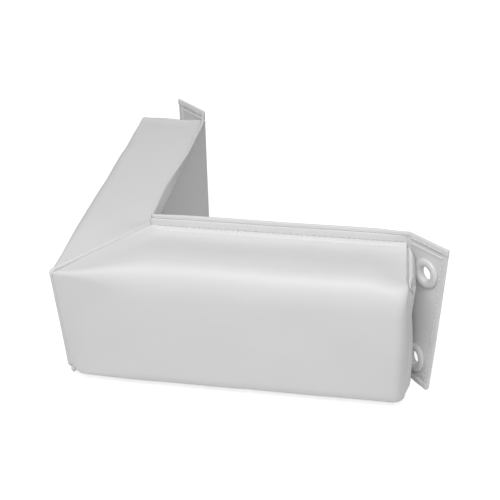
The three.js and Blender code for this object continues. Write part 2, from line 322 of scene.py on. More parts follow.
def coons(bottom, top, back, front):
    """A patch over four edges. Bottom and top run from back to front, the others run upwards."""
    s = np.linspace(0, 1, len(bottom))[:, None, None]
    t = np.linspace(0, 1, len(back))[None, :, None]
    across = mix(back[None], front[None], s)
    upward = mix(bottom[:, None], top[:, None], t)
    corners = mix(mix(bottom[0], top[0], t), mix(bottom[-1], top[-1], t), s)
    return across + upward - corners


def grid_normals(points):
    """Unit normals of a grid of points, one way round."""
    u = np.gradient(points, axis=0)
    v = np.gradient(points, axis=1)
    normal = np.cross(u, v)
    return normal / np.maximum(np.linalg.norm(normal, axis=-1, keepdims=True), 1e-12)


def grid_cells(index):
    """The four corners of each cell of a grid of point numbers."""
    return np.stack([index[:-1, :-1], index[1:, :-1], index[1:, 1:], index[:-1, 1:]], axis=-1)


def outward_normals(wrap):
    """Unit normals of the skin round an arm, out of the padding."""
    normal = grid_normals(wrap)
    row = len(wrap) // 2
    outward = ((wrap[row] - wrap[row].mean(axis=0)) * normal[row]).sum() > 0
    return normal if outward else -normal


def waves(x, y, seed, low, high, count=7):
    """Soft uneven waves from about -1 to 1, with lengths between low and high."""
    random = np.random.default_rng(seed)
    total = np.zeros(np.broadcast(x, y).shape)
    for _ in range(count):
        size = random.uniform(low, high)
        turn, phase = random.uniform(0, 2 * math.pi, 2)
        total += np.sin(2 * math.pi * (x * math.cos(turn) + y * math.sin(turn)) / size + phase)
    return total / math.sqrt(count)


# Frame


def sizes():
    """The groups of settings, by short names."""
    scene = bpy.context.scene
    return (
        scene.bumper_padding, scene.bumper_softness, scene.bumper_panel,
        scene.bumper_sewing, scene.bumper_grommets, scene.bumper_finishes,
    )


def panel_height():
    """Height of the whole panel, with both lips."""
    padding, _, panel, *_ = sizes()
    return padding.body_height + 2 * panel.lip_height


def cover_end():
    """Where a cover stops, from the outer corner."""
    padding = bpy.context.scene.bumper_padding
    return padding.arm_length - padding.end_setback


def outer_corner():
    """Where the outer corner of the padding stands in the frame, from the CAD panel's own box."""
    padding, _, panel, *_ = sizes()
    low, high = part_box("back_panel")
    reach = [
        padding.arm_length + panel.flange_width * math.cos(bend)
        for bend in (panel.right_flange_top, panel.left_flange_top)
    ]
    return np.array([high.x - reach[0], high.y - reach[1], low.z])


def place(arm, points):
    """Points given along an arm, in from its outer face and up from its foot, in the frame."""
    points = np.asarray(points, float)
    if arm == "left":
        points = points[..., [1, 0, 2]]
    return points + outer_corner()


def add_object(name, data):
    """A new object in the scene."""
    made = bpy.data.objects.new(name, data)
    bpy.context.scene.collection.objects.link(made)
    return made


def make_mesh(name, points, faces, material):
    """A smooth closed piece, turned the right way out."""
    mesh = bpy.data.meshes.new(name)
    lists = [face if isinstance(face, list) else face.tolist() for face in faces]
    mesh.from_pydata(
        np.asarray(points).reshape(-1, 3).tolist(), [], [face for part in lists for face in part]
    )
    work = bmesh.new()
    work.from_mesh(mesh)
    bmesh.ops.recalc_face_normals(work, faces=work.faces)
    work.to_mesh(mesh)
    work.free()
    mesh.polygons.foreach_set("use_smooth", [True] * len(mesh.polygons))
    mesh.materials.append(material)
    return add_object(name, mesh)


def joined(parts):
    """Several sets of points and faces as one."""
    points, faces, count = [], [], 0
    for part_points, part_faces in parts:
        part_points = np.asarray(part_points).reshape(-1, 3)
        points.append(part_points)
        for face in part_faces:
            if isinstance(face, list):
                faces.append([[i + count for i in corners] for corners in face])
            else:
                faces.append(face + count)
        count += len(part_points)
    return np.concatenate(points), faces


def tube_grid(rows, columns, closed_rows=False):
    """Faces of a grid of points whose columns run round and close."""
    index = np.arange(rows * columns).reshape(rows, columns)
    first, second = (index, np.roll(index, -1, axis=0)) if closed_rows else (index[:-1], index[1:])
    next_first, next_second = np.roll(first, -1, axis=1), np.roll(second, -1, axis=1)
    faces = [np.stack([first, second, next_second, next_first], axis=-1).reshape(-1, 4)]
    if not closed_rows:
        faces += [[index[0].tolist()], [index[-1].tolist()]]
    return faces


# Padding


def section(arm, inset, settled, sharp, rounded, shares):
    """Section of the padding: distances in from the outer face and up from the lower seam.
    settled is 0 at the mitre and 1 along the arm, sharp is 1 where the top edge ends in a corner,
    and rounded is 0 along the arm and 1 at its end."""
    padding = bpy.context.scene.bumper_padding
    end_rounding, end_top, top_edge, top_depth = (
        getattr(padding, f"{arm}_{name}")
        for name in ("end_rounding", "end_top", "top_edge", "top_run")
    )
    one = np.ones_like(settled)[:, None]
    settled, sharp, rounded = settled[:, None], sharp[:, None], rounded[:, None]
    back = (padding.body_depth - padding.sheet - padding.gap) * one
    front = inset + end_rounding * rounded - padding.edge_bulge * settled * (1 - sharp)
    swell = (padding.front_bulge - padding.edge_bulge) * settled
    shrink = inset + end_top * rounded
    low = shrink - padding.front_droop * settled
    high = padding.body_height - padding.top_fall - shrink
    used = inset + end_rounding * rounded
    soft = settled * (1 - sharp)
    top_rise = np.maximum(mix(padding.seam_edge, top_edge, soft) - used * (1 - sharp), MM)
    top_run = np.maximum(mix(padding.seam_edge, top_depth, soft) - used * (1 - sharp), MM)
    bottom_run = np.maximum(mix(padding.seam_edge, padding.bottom_edge, settled) - used, MM)
    start = front + top_run
    run = back - start
    seam = padding.body_height - shrink
    hollow = mix(mix(seam, high, padding.lip_fillet / run), high, settled)
    curves = (
        ((back, (back + front + bottom_run) / 2, front + bottom_run), (shrink, low, low)),
        ((front + bottom_run, front, front), (low, low, low + bottom_run)),
        ((front, front - 2 * swell, front), (low + bottom_run, (low + high) / 2, high - top_rise)),
        ((front, front, start), (high - top_rise, high, high)),
        (
            (start, start + run / 2, back - padding.lip_fillet, back),
            (high, mix((high + seam) / 2, high, settled), hollow, seam),
        ),
    )
    across = np.concatenate([bezier(x, t) for (x, _), t in zip(curves, shares)], axis=1)
    height = np.concatenate([bezier(z, t) for (_, z), t in zip(curves, shares)], axis=1)
    return across, height


def section_shares(*stretches):
    """Shares along the stretches of a section. Each leaves out its first point but the first."""
    return [np.asarray(s, float)[1 if i else 0:] for i, s in enumerate(stretches)]


def coarse_stations():
    """Few places round the section and along an arm, for the settling."""
    even = [np.linspace(0, 1, count + 1) for count in (12, 4, 13, 8, 10)]
    return section_shares(*even), np.linspace(0, 1, 56), np.linspace(0, 1, 5)[1:], (14, 19)


def fine_stations(arm):
    """Many places, closer together by the seams and the puckers. The steps of both roundings are
    shared out so that the end wall has as many places below as above."""
    padding = bpy.context.scene.bumper_padding
    seam = MM * np.array([
        0, 0.7, 1.4, 2.1, 2.8, 3.5, 4.2, 4.7, 5.2, 5.7, 6.4, 7.4, 8.4, 9.4, 10.4, 11.6, 13,
    ])
    bottom_run, top_run = 57 * MM, 43 * MM
    near_bottom = seam / bottom_run
    near_top = 1 - seam[::-1] / top_run
    bottom = np.concatenate([near_bottom, np.linspace(near_bottom[-1], 1, 14)[1:]])
    top = np.concatenate([np.linspace(0, near_top[0], 11)[:-1], near_top])
    front = np.concatenate([np.linspace(0, 0.66, 17)[:-1], np.linspace(0.66, 1, 15)])
    lower_half = 4
    upper_half = len(bottom) + lower_half - len(top)
    lower, upper = (np.linspace(0, 1, 2 * half + 1) for half in (lower_half, upper_half))
    sides = len(bottom) - 1 + lower_half
    uprights = lower_half + len(front) - 1 + upper_half
    near = np.array([0, 0.25, 0.5, 0.8, 1.1, 1.5, 1.9, 2.3, 2.7, 3.2, 3.9]) * MM
    straight = cover_end() - getattr(padding, f"{arm}_end_rounding")
    even = np.arange(4.8 * MM, straight - 0.4 * MM, 0.9 * MM)
    rows = np.concatenate([near, even, [straight]]) / straight
    shares = section_shares(bottom, lower, front, upper, top)
    return shares, rows, np.linspace(0, 1, 11)[1:], (sides, uprights)


def ring_edges(ring, sides, uprights):
    """The stretches of an arm's last ring that border its end wall: bottom, front and top."""
    return ring[: sides + 1], ring[sides: sides + uprights + 1], ring[sides + uprights:][::-1]


def arm_form(arm, inset, stations):
    """The skin of one padded arm, before it settles. wrap runs from the mitre to the end and round
    the section, and wall closes the end. Both hold points along the arm, in from its outer face
    and up."""
    padding, _, panel, *_ = sizes()
    shares, rows, turns, (sides, uprights) = stations
    full = cover_end()
    end = full - inset
    rounding = max(getattr(padding, f"{arm}_end_rounding") - inset, 0.5 * MM)
    bends = turns * math.pi / 2
    at = np.concatenate([rows * (end - rounding), end - rounding * (1 - np.sin(bends))])
    rounded = np.concatenate([np.zeros(len(rows)), 1 - np.cos(bends)])
    settled = smooth(at / padding.settle_length)
    far_run = padding.far_corner_run
    sharp = ramp(at, end - far_run, far_run) if arm == "left" else 0 * at
    across, height = section(arm, inset, settled, sharp, rounded, shares)
    overhang = getattr(padding, f"{arm}_overhang")
    shift = padding.gap * DIAGONAL

    def along(distance, depth):
        mitred = np.clip(1 - distance / padding.settle_length, 0, 1)
        lean = np.maximum((distance - padding.settle_length) / (full - padding.settle_length), 0)
        out = overhang * lean * (1 - depth / padding.body_depth)
        return distance + (shift + depth) * mitred + out

    spot = at[:, None] * np.ones_like(across)
    wrap = np.stack([along(spot, across), across, height + panel.lip_height], axis=-1)
    bottom, front, top = ring_edges(wrap[-1], sides, uprights)
    even_rise = np.linspace(0, 1, uprights + 1)[:, None]
    front_rise = (front[:, 2:] - front[0, 2]) / (front[-1, 2] - front[0, 2])
    back = mix(bottom[0], top[0], front_rise * 0.5 + even_rise * 0.5)
    wall = coons(bottom, top, back, front)
    wall[..., 0] = along(np.full(wall.shape[:2], end), wall[..., 1])
    wall[:, 0], wall[:, -1], wall[-1] = bottom, top, front
    place_u = np.concatenate([i + s for i, s in enumerate(shares)])
    past_end = 0.12
    place_v = np.concatenate([rows, 1 + turns * past_end])
    return {
        "wrap": wrap, "wall": wall, "at": spot, "u": place_u, "v": place_v, "sides": sides,
        "uprights": uprights,
    }


def skin_faces(form):
    """Faces of a form's wrap and wall, with the numbers of the points round its open border."""
    rows, columns = form["wrap"].shape[:2]
    sides, uprights = form["sides"], form["uprights"]
    index = np.arange(rows * columns).reshape(rows, columns)
    wall = np.full((sides + 1, uprights + 1), -1)
    wall[:, 0], wall[-1], wall[:, -1] = ring_edges(index[-1], sides, uprights)
    new = wall < 0
    wall[new] = rows * columns + np.arange(new.sum())
    quads = np.concatenate([grid_cells(grid).reshape(-1, 4) for grid in (index, wall)])
    border = np.concatenate([index[0], index[1:, -1], wall[0, ::-1][1:], index[-2:0:-1, 0]])
    return quads, border, new, index, wall


def skin_points(wrap, wall, new):
    """Points of a wrap and of what its wall adds, in the order that skin_faces numbers them."""
    return np.concatenate([wrap.reshape(-1, 3), wall[new]])


def closed_faces(form):
    """Faces of a form closed at the mitre and towards the dock."""
    quads, _, new, index, wall = skin_faces(form)
    back = np.stack([index[:-2, 0], index[:-2, -1], index[1:-1, -1], index[1:-1, 0]], axis=-1)
    last = [[int(index[-2, 0]), int(index[-2, -1]), *wall[0, ::-1].tolist()]]
    return [quads, [index[0].tolist()], back, last], new


def settle(arm):
    """How far the cover's skin moves when it is blown tight as cloth, at the coarse stations. Only
    what is uneven along the arm is kept, and it fades towards the mitre and the end."""
    softness = bpy.context.scene.bumper_softness
    spread, mitre_fade, end_fade = 5, 20 * MM, 12 * MM
    form = arm_form(arm, softness.slack, coarse_stations())
    faces, new = closed_faces(form)
    start = skin_points(form["wrap"], form["wall"], new)
    moved = blown(start, faces, form) - start
    size = np.linalg.norm(moved, axis=1, keepdims=True)
    limit = softness.swell_limit
    moved *= limit / (limit + size)
    rows, columns = form["wrap"].shape[:2]
    wrap = moved[: rows * columns].reshape(rows, columns, 3)
    at = form["at"]
    free = smooth(at / mitre_fade) * smooth((at[-1] - at) / end_fade)
    wrap = (wrap - evened(wrap, spread)) * free[..., None]
    wall = np.zeros(form["wall"].shape)
    wall[new] = moved[rows * columns:]
    return {**form, "moved": wrap, "wall_moved": with_border(form, wrap, wall)}


def evened(grid, spread):
    """The grid with each column smoothed along the arm."""
    rows = np.arange(len(grid))
    weights = np.exp(-np.square((rows[:, None] - rows[None]) / spread))
    weights /= weights.sum(axis=1, keepdims=True)
    return np.einsum("ij,jkc->ikc", weights, grid)


def blown(start, faces, form):
    """Points of a closed skin after a short cloth simulation under pressure."""
    scene = bpy.context.scene
    softness = scene.bumper_softness
    skin = make_mesh("settling_skin", start, faces, None)
    work = bmesh.new()
    work.from_mesh(skin.data)
    bmesh.ops.triangulate(work, faces=[face for face in work.faces if len(face.verts) > 4])
    work.to_mesh(skin.data)
    work.free()
    *_, index, wall = skin_faces(form)
    held = np.concatenate([index[0], index[:, 0], index[:, -1], wall[0]])
    group = skin.vertex_groups.new(name="held")
    group.add(sorted(set(held.tolist())), 1.0, "REPLACE")
    cloth = skin.modifiers.new("Settle", "CLOTH")
    for key, value in {
        "quality": 6, "mass": 0.3, "tension_stiffness": 25, "compression_stiffness": 25,
        "shear_stiffness": 10, "bending_stiffness": 1.5, "use_pressure": True,
        "uniform_pressure_force": softness.pressure, "vertex_group_mass": group.name,
    }.items():
        setattr(cloth.settings, key, value)
    cloth.settings.effector_weights.gravity = 0
    cloth.collision_settings.use_collision = False
    for step in range(1, softness.settle_frames + 1):
        scene.frame_set(step)
    shown = skin.evaluated_get(bpy.context.evaluated_depsgraph_get())
    points = np.zeros(len(shown.data.vertices) * 3)
    shown.data.vertices.foreach_get("co", points)
    mesh = skin.data
    bpy.data.objects.remove(skin)
    bpy.data.meshes.remove(mesh)
    scene.frame_set(1)
    return points.reshape(-1, 3)


def with_settling(form, settled):
    """The form at its own stations, moved as the settled coarse form moved."""
    sides, uprights = form["sides"], form["uprights"]
    few_sides, few_uprights = settled["sides"], settled["uprights"]
    own, few = form["u"], settled["u"]

    def places(own, few):
        return np.interp(own, few, np.arange(len(few)))

    def weights(own, few):
        return spline_weights(places(own, few), len(few))

    moved = np.einsum(
        "ij,kl,jlc->ikc", weights(form["v"], settled["v"]), weights(own, few), settled["moved"]
    )
    low = places(own[: sides + 1], few[: few_sides + 1])
    high = places(-own[::-1][: sides + 1], -few[::-1][: few_sides + 1])
    across = spline_weights((low + high) / 2, few_sides + 1)
    upward = weights(
        own[sides: sides + uprights + 1], few[few_sides: few_sides + few_uprights + 1]
    )
    wall_moved = np.einsum("ij,kl,jlc->ikc", across, upward, settled["wall_moved"])
    bottom, front, top = ring_edges(moved[-1], sides, uprights)
    rise = np.linspace(0, 1, uprights + 1)[:, None]
    off = coons(
        bottom - wall_moved[:, 0], top - wall_moved[:, -1],
        mix(bottom[0] - wall_moved[0, 0], top[0] - wall_moved[0, -1], rise),
        front - wall_moved[-1],
    )
    return form["wrap"] + moved, form["wall"] + wall_moved + off


def corner_pull(points, at):
    """How the sewn outer corner is drawn: down and out at the top, up and in at the foot."""
    padding, softness, panel, *_ = sizes()
    top = padding.body_height - padding.top_fall
    level = np.clip((points[..., 2] - panel.lip_height) / top, 0, 1)
    fade = hump(at / mix(softness.foot_fade, softness.corner_fade, level))
    near = np.clip(1 - points[..., 1] / padding.body_depth, 0, 1)
    upright = mix(softness.corner_lift, -softness.corner_drop, level) * near * fade
    outward = mix(softness.corner_in, -softness.corner_out, level) * DIAGONAL * near**2 * fade
    return np.stack([outward, outward, upright], axis=-1)


def crowned(arm, points, at):
    """How far the top swells up into a crown, and sinks beside it."""
    padding, softness, panel, *_ = sizes()
    top = padding.body_height - padding.top_fall
    reach_down, end_run, lip_run = 45 * MM, 34 * MM, 8 * MM
    left_share, end_share = 0.55, 0.25
    share_of = left_share if arm == "left" else 1.0
    level = np.clip((points[..., 2] - panel.lip_height - top + reach_down) / reach_down, 0, 1)
    fade = 1 - (1 - end_share) * ramp(at, cover_end() - end_run, end_run)
    fade = smooth(at / padding.settle_length) * fade
    depth = points[..., 1]
    rise = softness.crown * bell(depth, softness.crown_place, softness.crown_width)
    sink = softness.hollow * bell(depth, softness.hollow_place, softness.hollow_width)
    back = smooth((padding.body_depth - depth) / lip_run)
    return share_of * level * fade * back * (rise - sink)


def shaped(arm, form, wrap, wall):
    """The form with its crown, its drawn corners and its swollen end wall. The right arm's top ends
    in a sharp edge over a crease."""
    padding, softness, *_ = sizes()
    at, end, tall = form["at"], cover_end(), padding.body_height
    rounding = getattr(padding, f"{arm}_end_rounding")
    wrap = wrap.copy()
    wrap[..., 2] += crowned(arm, wrap, at)
    if arm == "left":
        corner_run = 9 * MM
        level = ramp(wrap[..., 2], 0.7 * tall, 0.2 * tall)
        wrap[..., 2] += padding.far_corner_lift * level * bell(at, end, corner_run)
    depth = wrap[..., 1]
    on_top = ramp(wrap[..., 2], 0.8 * tall, 0.1 * tall)
    last = np.clip((at - end + rounding) / rounding, 0, 1)
    swell = end_bulge(wrap) * last * (1 - on_top)
    wrap = wrap + corner_pull(wrap, at)
    wrap[..., 0] += swell
    if arm == "right":
        edge_width, gape_run, sharpness = 0.32 * MM, 4 * MM, 0.8
        dip_back, dip_width = 3.5 * MM, 5 * MM
        down, gape, under = crease_shape(depth)
        near = bell(at, end, edge_width) * on_top
        wrap[..., 2] += sharpness * padding.right_end_top * (1 - np.sqrt(1 - last**2)) * on_top
        wrap[..., 2] -= down * near
        wrap[..., 0] -= gape * on_top * ramp(at, end - gape_run, gape_run) + under * near
        dip = bell(at, end - dip_back, dip_width) * bell(depth, softness.slit_place, dip_width)
        wrap[..., 2] -= softness.corner_dip * dip * (1 - near) * on_top
    wall = wall.copy()
    wall[..., 0] += end_bulge(wall)
    return wrap, with_border(form, wrap, wall)


def crease_shape(depth):
    """How deep the crease is, how far it gapes and how far it runs under the top, at distances
    from the outer face."""
    softness = bpy.context.scene.bumper_softness
    front, fade, slit_width = 9 * MM, 5 * MM, 3.2 * MM
    narrow, wide = 0.2 * MM, 1.2 * MM
    band = ramp(depth, front, fade)
    slit = bell(depth, softness.slit_place, slit_width)
    down = softness.crease * band + softness.slit_depth * slit
    return down, narrow * band + wide * slit, softness.undercut * band


def rolled(arm, form, wrap, wall):
    """The end wall with a roll along its upper edge, which turns over and down into the crease."""
    padding, softness, *_ = sizes()
    edge = wall[:, -1]
    depth = edge[:, 1]
    down, gape, under = crease_shape(depth) if arm == "right" else np.zeros((3, len(depth)))
    height = edge[:, 2] + down
    slim_start, slim_run, slimmest = 12 * MM, 14 * MM, 0.4
    just_below = np.array([0, 0, 3 * MM])
    reach = end_bulge(edge - just_below) * mix(slimmest, 1, ramp(depth, slim_start, slim_run))
    lift = getattr(softness, f"{arm}_roll") * reach / softness.end_swell
    foot = height - 1.2 * lift - 0.5 * reach
    inside = 0.1 * reach
    profile = [
        (reach * (0.5 + 0.5 * math.cos(turn)), mix(foot, height + lift, math.sin(turn)))
        for turn in np.radians([0, 26, 52, 78, 103])
    ]
    profile += [(inside, height + 0.2 * lift), (inside, height - 0.92 * down)]
    below = slice(0, wall.shape[1] - 1 - len(profile))
    bottom = wall[:, :1, 2]
    room = 1.5 * MM
    stretch = ((foot - room)[:, None] - bottom) / (wall[:, below, 2][:, -1:] - bottom)
    full = wall.copy()
    full[:, below, 2] = bottom + (wall[:, below, 2] - bottom) * stretch
    full[:, below, 0] += end_bulge(full[:, below]) - end_bulge(wall[:, below])
    start = full[:, below.stop - 1, 1]
    for i, (out, up) in enumerate(profile):
        across = mix(start, depth, (i + 1) / (len(profile) + 1))
        full[:, below.stop + i] = np.stack([edge[:, 0] + gape + under + out, across, up], axis=-1)
    front, fade = 9 * MM if arm == "right" else 3 * MM, 5 * MM
    behind = 1 - ramp(depth, padding.body_depth - 6 * MM, fade)
    share_of = (ramp(depth, front, fade) * behind)[:, None, None]
    return with_border(form, wrap, mix(wall, full, share_of))


def with_border(form, wrap, wall):
    """The wall with its border laid on the wrap's last ring."""
    wall = wall.copy()
    bottom, front, top = ring_edges(wrap[-1], form["sides"], form["uprights"])
    wall[:, 0], wall[:, -1], wall[-1] = bottom, top, front
    return wall


def end_bulge(points):
    """How far an end wall swells over the flange at its points, less at its foot and waist."""
    _, softness, panel, *_ = sizes()
    depth, height = points[..., 1], points[..., 2] - panel.lip_height
    level = smooth(height / (45 * MM))
    front = ramp(depth, -2 * MM, 15 * MM)
    back = 1 - ramp(depth, mix(50 * MM, 55 * MM, level), mix(8 * MM, 13 * MM, level))
    foot = mix(0.25, 1, ramp(height, -2 * MM, 14 * MM))
    waist = 1 - 0.45 * bell(height, 76 * MM, 22 * MM)
    return softness.end_swell * front * back * foot * waist


def dressed(arm, form, wrap, wall):
    """The settled skin with its end, seams, puckers and ridge, and the same skin without those."""
    padding, softness, panel, sewing, *_ = sizes()
    at, end, seed = form["at"], cover_end(), ARMS.index(arm)
    wrap, wall = shaped(arm, form, wrap, wall)
    wall = rolled(arm, form, wrap, wall)
    plain = (wrap.copy(), wall.copy())

    steps = np.linalg.norm(np.diff(wrap, axis=1), axis=-1)
    from_lower = np.concatenate([np.zeros((len(wrap), 1)), np.cumsum(steps, axis=1)], axis=1)
    from_seam = np.minimum(from_lower, from_lower[:, -1:] - from_lower)

    # Puckers between the lip seam and the groove under them
    ends = ramp(at, 6 * MM, 12 * MM) * (1 - ramp(at, end - 16 * MM, 12 * MM))
    slant, start, groove = 0.55, 0.6 * MM, sewing.groove_place
    wander = 1.6 * waves(at, 0 * at, 11 + seed, 0.03, 0.12, 5)
    phase = 2 * math.pi * (at + slant * from_seam) / sewing.pucker_spacing + wander
    strength = (0.75 + 0.35 * waves(at, 0 * at, 21, 0.02, 0.08, 5)).clip(0.25, 1.3)
    band = np.sin(np.clip((from_seam - start) / (groove - start), 0, 1) * math.pi) ** 0.7
    lift = (sewing.pucker_depth * np.sin(phase) * strength + 0.25 * MM) * band * ends
    lift -= sewing.seam_groove * bell(from_seam, groove, 0.55 * MM) * ends
    lift -= 0.25 * MM * hump(from_seam / (0.5 * MM))

    # Faint slanting ripples in the front, in millimetres
    along_front, up_front = wrap[..., 0] / MM, (wrap[..., 2] - panel.lip_height) / MM
    patch = bell(along_front, 175, 80) * bell(up_front, 36, 20) * (from_seam > 30 * MM)
    uneven = waves(along_front, up_front, 5, 20, 60)
    lift += softness.ripple * patch * np.sin((along_front * 0.72 + up_front * 0.69) / 1.3 + uneven)

    # Broad waves, and the swelling beside the mitre seam
    broad = 0.26 * MM * waves(at, from_lower, 31 + seed, 0.05, 0.13)
    lift += broad * smooth(from_seam / 0.02) * smooth(at / 0.03)
    face = smooth((padding.body_depth - 14 * MM - wrap[..., 1]) / (20 * MM))
    lift += softness.pinch * face * (1 - np.exp(-at / (4.5 * MM))) * np.exp(-at / (38 * MM))

    # The ridge of the mitre seam, on the left arm, and its groove on the right
    if arm == "left":
        half = sewing.welt_width / 2
        ridge = np.sqrt(np.clip(1 - np.square((at - half) / half), 0, 1))
        lift += sewing.welt_height * ridge * (at < 2 * half)
    else:
        lift -= 0.5 * MM * hump(at / (0.7 * MM))
    wrap = wrap + outward_normals(wrap) * lift[..., None]
    return wrap, with_border(form, wrap, wall), plain


def inner_skin(form, wrap, wall, thickness):
    """The same skin, one thickness further in."""
    normal = outward_normals(wrap)
    normal[0, :, 0] = normal[0, :, 1]
    outward = grid_normals(wall)
    outward = outward * np.sign(outward[..., 0].sum())
    wrap = wrap - normal * thickness
    return wrap, with_border(form, wrap, wall - outward * thickness)


def lip_lean(arm, distance, height):
    """How far the lip leans over the dock, at distances from the inner corner and heights."""
    padding, _, panel, *_ = sizes()
    spot = distance / MM
    fold = (padding.arm_length - padding.body_depth) / MM

    def along_lip(start, run, short, fade):
        """Rises to 1 after a start and falls to 0 short of the fold, all in millimetres."""
        return ramp(spot, start, run) * (1 - ramp(spot, fold - short, fade))

    above = np.clip((height - panel_height() + panel.lip_height) / panel.lip_height, 0, 1)
    below = np.clip((panel.lip_height - height) / panel.lip_height, 0, 1)
    seed = 41 if arm == "left" else 42
    gentle = 0.35 * MM * waves(distance, 0 * distance, seed, 0.05, 0.12, 5)
    gentle = gentle * along_lip(0, 12, 25, 20)
    if arm == "right":
        back = 1.5 * MM * along_lip(0, 30, 30, 25)
        return gentle * (above + below) ** 1.3 + back * above**1.2
    over = panel.left_lip_lean * along_lip(45, 95, 34, 32)
    inward = 1.2 * MM * np.sin(np.clip(spot / 78, 0, 1) * math.pi)
    return (over - inward + gentle) * above**1.2 + gentle * below**1.3


def turned_edge(arm, upper):
    """The strip of the cover that turns up, or down, in front of the lip, as points and faces."""
    padding, _, panel, sewing, *_ = sizes()
    front = padding.body_depth - padding.sheet - padding.gap - padding.sheet
    end = cover_end()
    shift = padding.gap * DIAGONAL
    along = np.arange(front + shift, end + 0.3 * MM, 1.2 * MM)
    rounding = getattr(padding, f"{arm}_end_rounding")
    drop = getattr(padding, f"{arm}_end_top") * ramp(along, end - rounding, rounding) ** 2
    level, sign = (padding.body_height, 1) if upper else (0.0, -1)
    thin = 0.96 * ramp(along, end - 12 * MM, 11 * MM)
    shape = [
        (0, -1.2), (0, 0.4), (0.02, 1.6), (0, 3.2), (0.05, 4.6), (0.3, 5.1), (0.7, 5.2), (1, 5.0),
        (1, 2), (1, -1.2),
    ]
    scale = sewing.turn_up / (5.2 * MM)
    ripples = 0.12 * MM * np.sin(2 * math.pi * along / sewing.pucker_spacing)
    rows = []
    for inward, up in shape:
        seam = level - sign * drop * (up <= 1)
        height = panel.lip_height + seam + sign * up * MM * scale
        pucker = ripples * (0.2 < up < 3) * (inward < 0.1)
        depth = front + mix(inward, 1.0, thin) * padding.sheet - pucker * (1 - thin)
        lean = lip_lean(arm, along - padding.body_depth, height)
        mitred = np.maximum(along, depth + shift)
        by_mitre = along < front + shift + MM
        rows.append(np.stack([mitred + lean * by_mitre, depth + lean, height], axis=-1))
    grid = np.stack(rows, axis=1)
    return grid, tube_grid(*grid.shape[:2])


def seam_tail():
    """Loose tail of the mitre seam that shows below the outer corner, as points and faces."""
    _, softness, panel, sewing, *_ = sizes()
    tuck = softness.corner_in * 0.85
    foot = panel.lip_height + softness.corner_lift * 0.8
    reach, drop, slack = sewing.tail_length, sewing.tail_drop, 1.2 * MM
    outline = np.array([
        (0.5 * MM, foot + 1.5 * MM), (reach, foot - 0.5 * MM),
        (0.86 * reach, foot - 0.45 * drop - slack), (0.55 * reach, foot - drop - slack),
        (0.28 * reach, foot - drop - 1.5 * slack), (0.12 * reach, foot - 0.8 * drop),
    ])
    rings = []
    for side, shrink in ((0.15, 0.5), (0.3, 0.15), (0.9, 0), (1.5, 0.15), (1.7, 0.5)):
        inward, height = mix(outline, outline.mean(axis=0), shrink * 0.3).T
        spot, off = (tuck + inward) * DIAGONAL, side * MM * DIAGONAL
        rings.append(np.stack([spot + off, spot - off, height], axis=-1))
    return np.array(rings), tube_grid(len(rings), len(outline))


# Back panel


def panel_path(arm, distance, height):
    """The dock face of the panel: places along and across, and the way it runs, at distances from
    the inner corner and heights."""
    padding, _, panel, *_ = sizes()
    depth, radius = padding.body_depth, panel.corner_radius
    arc = radius * math.pi / 4
    turn = np.where(distance < arc, -math.pi / 4 * (1 - distance / arc), 0.0)
    along = depth + radius + np.where(distance < arc, radius * np.sin(turn), distance - arc)
    across = depth + radius * (1 - np.cos(turn))
    fold = fold_distance()
    first = fold - panel.fold_run / 2
    top, bottom = (getattr(panel, f"{arm}_flange_{end}") for end in ("top", "bottom"))
    level = height / panel_height()
    bend = mix(bottom, top, level)
    curled = 0.55
    curl = panel.flange_curl * (1 - smooth(level / curled))
    span = np.maximum(distance - first, 0)
    count = 40
    for i in range(count):
        spot = first + span * (i + 0.5) / count
        way = flange_way(panel, bend, curl, spot - fold)
        along = along + (np.cos(way) - 1) * span / count
        across = across + np.sin(way) * span / count
    way = np.where(distance > first, flange_way(panel, bend, curl, distance - fold), turn)
    return along, across, way


def flange_way(panel, bend, curl, out):
    """Direction of the panel at a distance past the fold."""
    reach = np.clip(out / panel.flange_width, 0, 1)
    return -(bend + curl * (1 - 2 * reach)) * smooth(out / panel.fold_run + 0.5)


def fold_distance():
    """From the inner corner to a fold, along the panel."""
    padding, _, panel, *_ = sizes()
    return padding.arm_length - padding.body_depth - panel.corner_radius * (1 - math.pi / 4)


def panel_point(arm, distance, height, forward):
    """A point of the panel, at a distance in front of its dock face. It is flat by the grommets."""
    distance, height, forward = np.broadcast_arrays(distance, height, forward)
    along, across, way = panel_path(arm, distance, height)
    off = forward - lip_lean(arm, distance, height)
    point = np.stack([along + np.sin(way) * off, across - np.cos(way) * off, height], axis=-1)
    flat, fade = 11.5 * MM, 9 * MM
    for level in LEVELS:
        centre, facing, seat = grommet_seat(arm, level)
        spread = np.hypot(distance - seat[0], height - seat[1])
        rise = (point - centre) @ facing
        point = point - ((1 - ramp(spread, flat, fade)) * (rise - forward))[..., None] * facing
    return point


def grommet_seat(arm, level):
    """Middle of a grommet on the dock face, the way its ring faces, and its place on the panel."""
    grommet = bpy.context.scene.bumper_grommets
    height = grommet.lower_height if level == "lower" else panel_height() - grommet.upper_drop
    distance = fold_distance() + grommet.inset
    step = 4 * MM
    spots = np.array([(distance, height), (distance + step, height), (distance, height + step)])
    along, across, _ = panel_path(arm, spots[:, 0], spots[:, 1])
    points = np.stack([along, across, spots[:, 1]], axis=-1)
    facing = np.cross(points[1] - points[0], points[2] - points[0])
    facing /= np.linalg.norm(facing)
    if facing[1] > 0:
        facing = -facing
    return points[0], facing, (distance, height)


def hem_shares():
    """Shares across a hem, and how far its front stands out and its back is lifted there."""
    return (
        np.array([0, 0.05, 0.14, 0.3, 0.5, 0.7, 0.86, 0.95, 1.0]),
        np.array([0.3, 0.72, 0.94, 1.0, 1.02, 1.02, 1.0, 0.98, 0.9]),
        np.array([1.0, 0.4, 0.1, 0, 0, 0, 0, 0, 0]),
    )


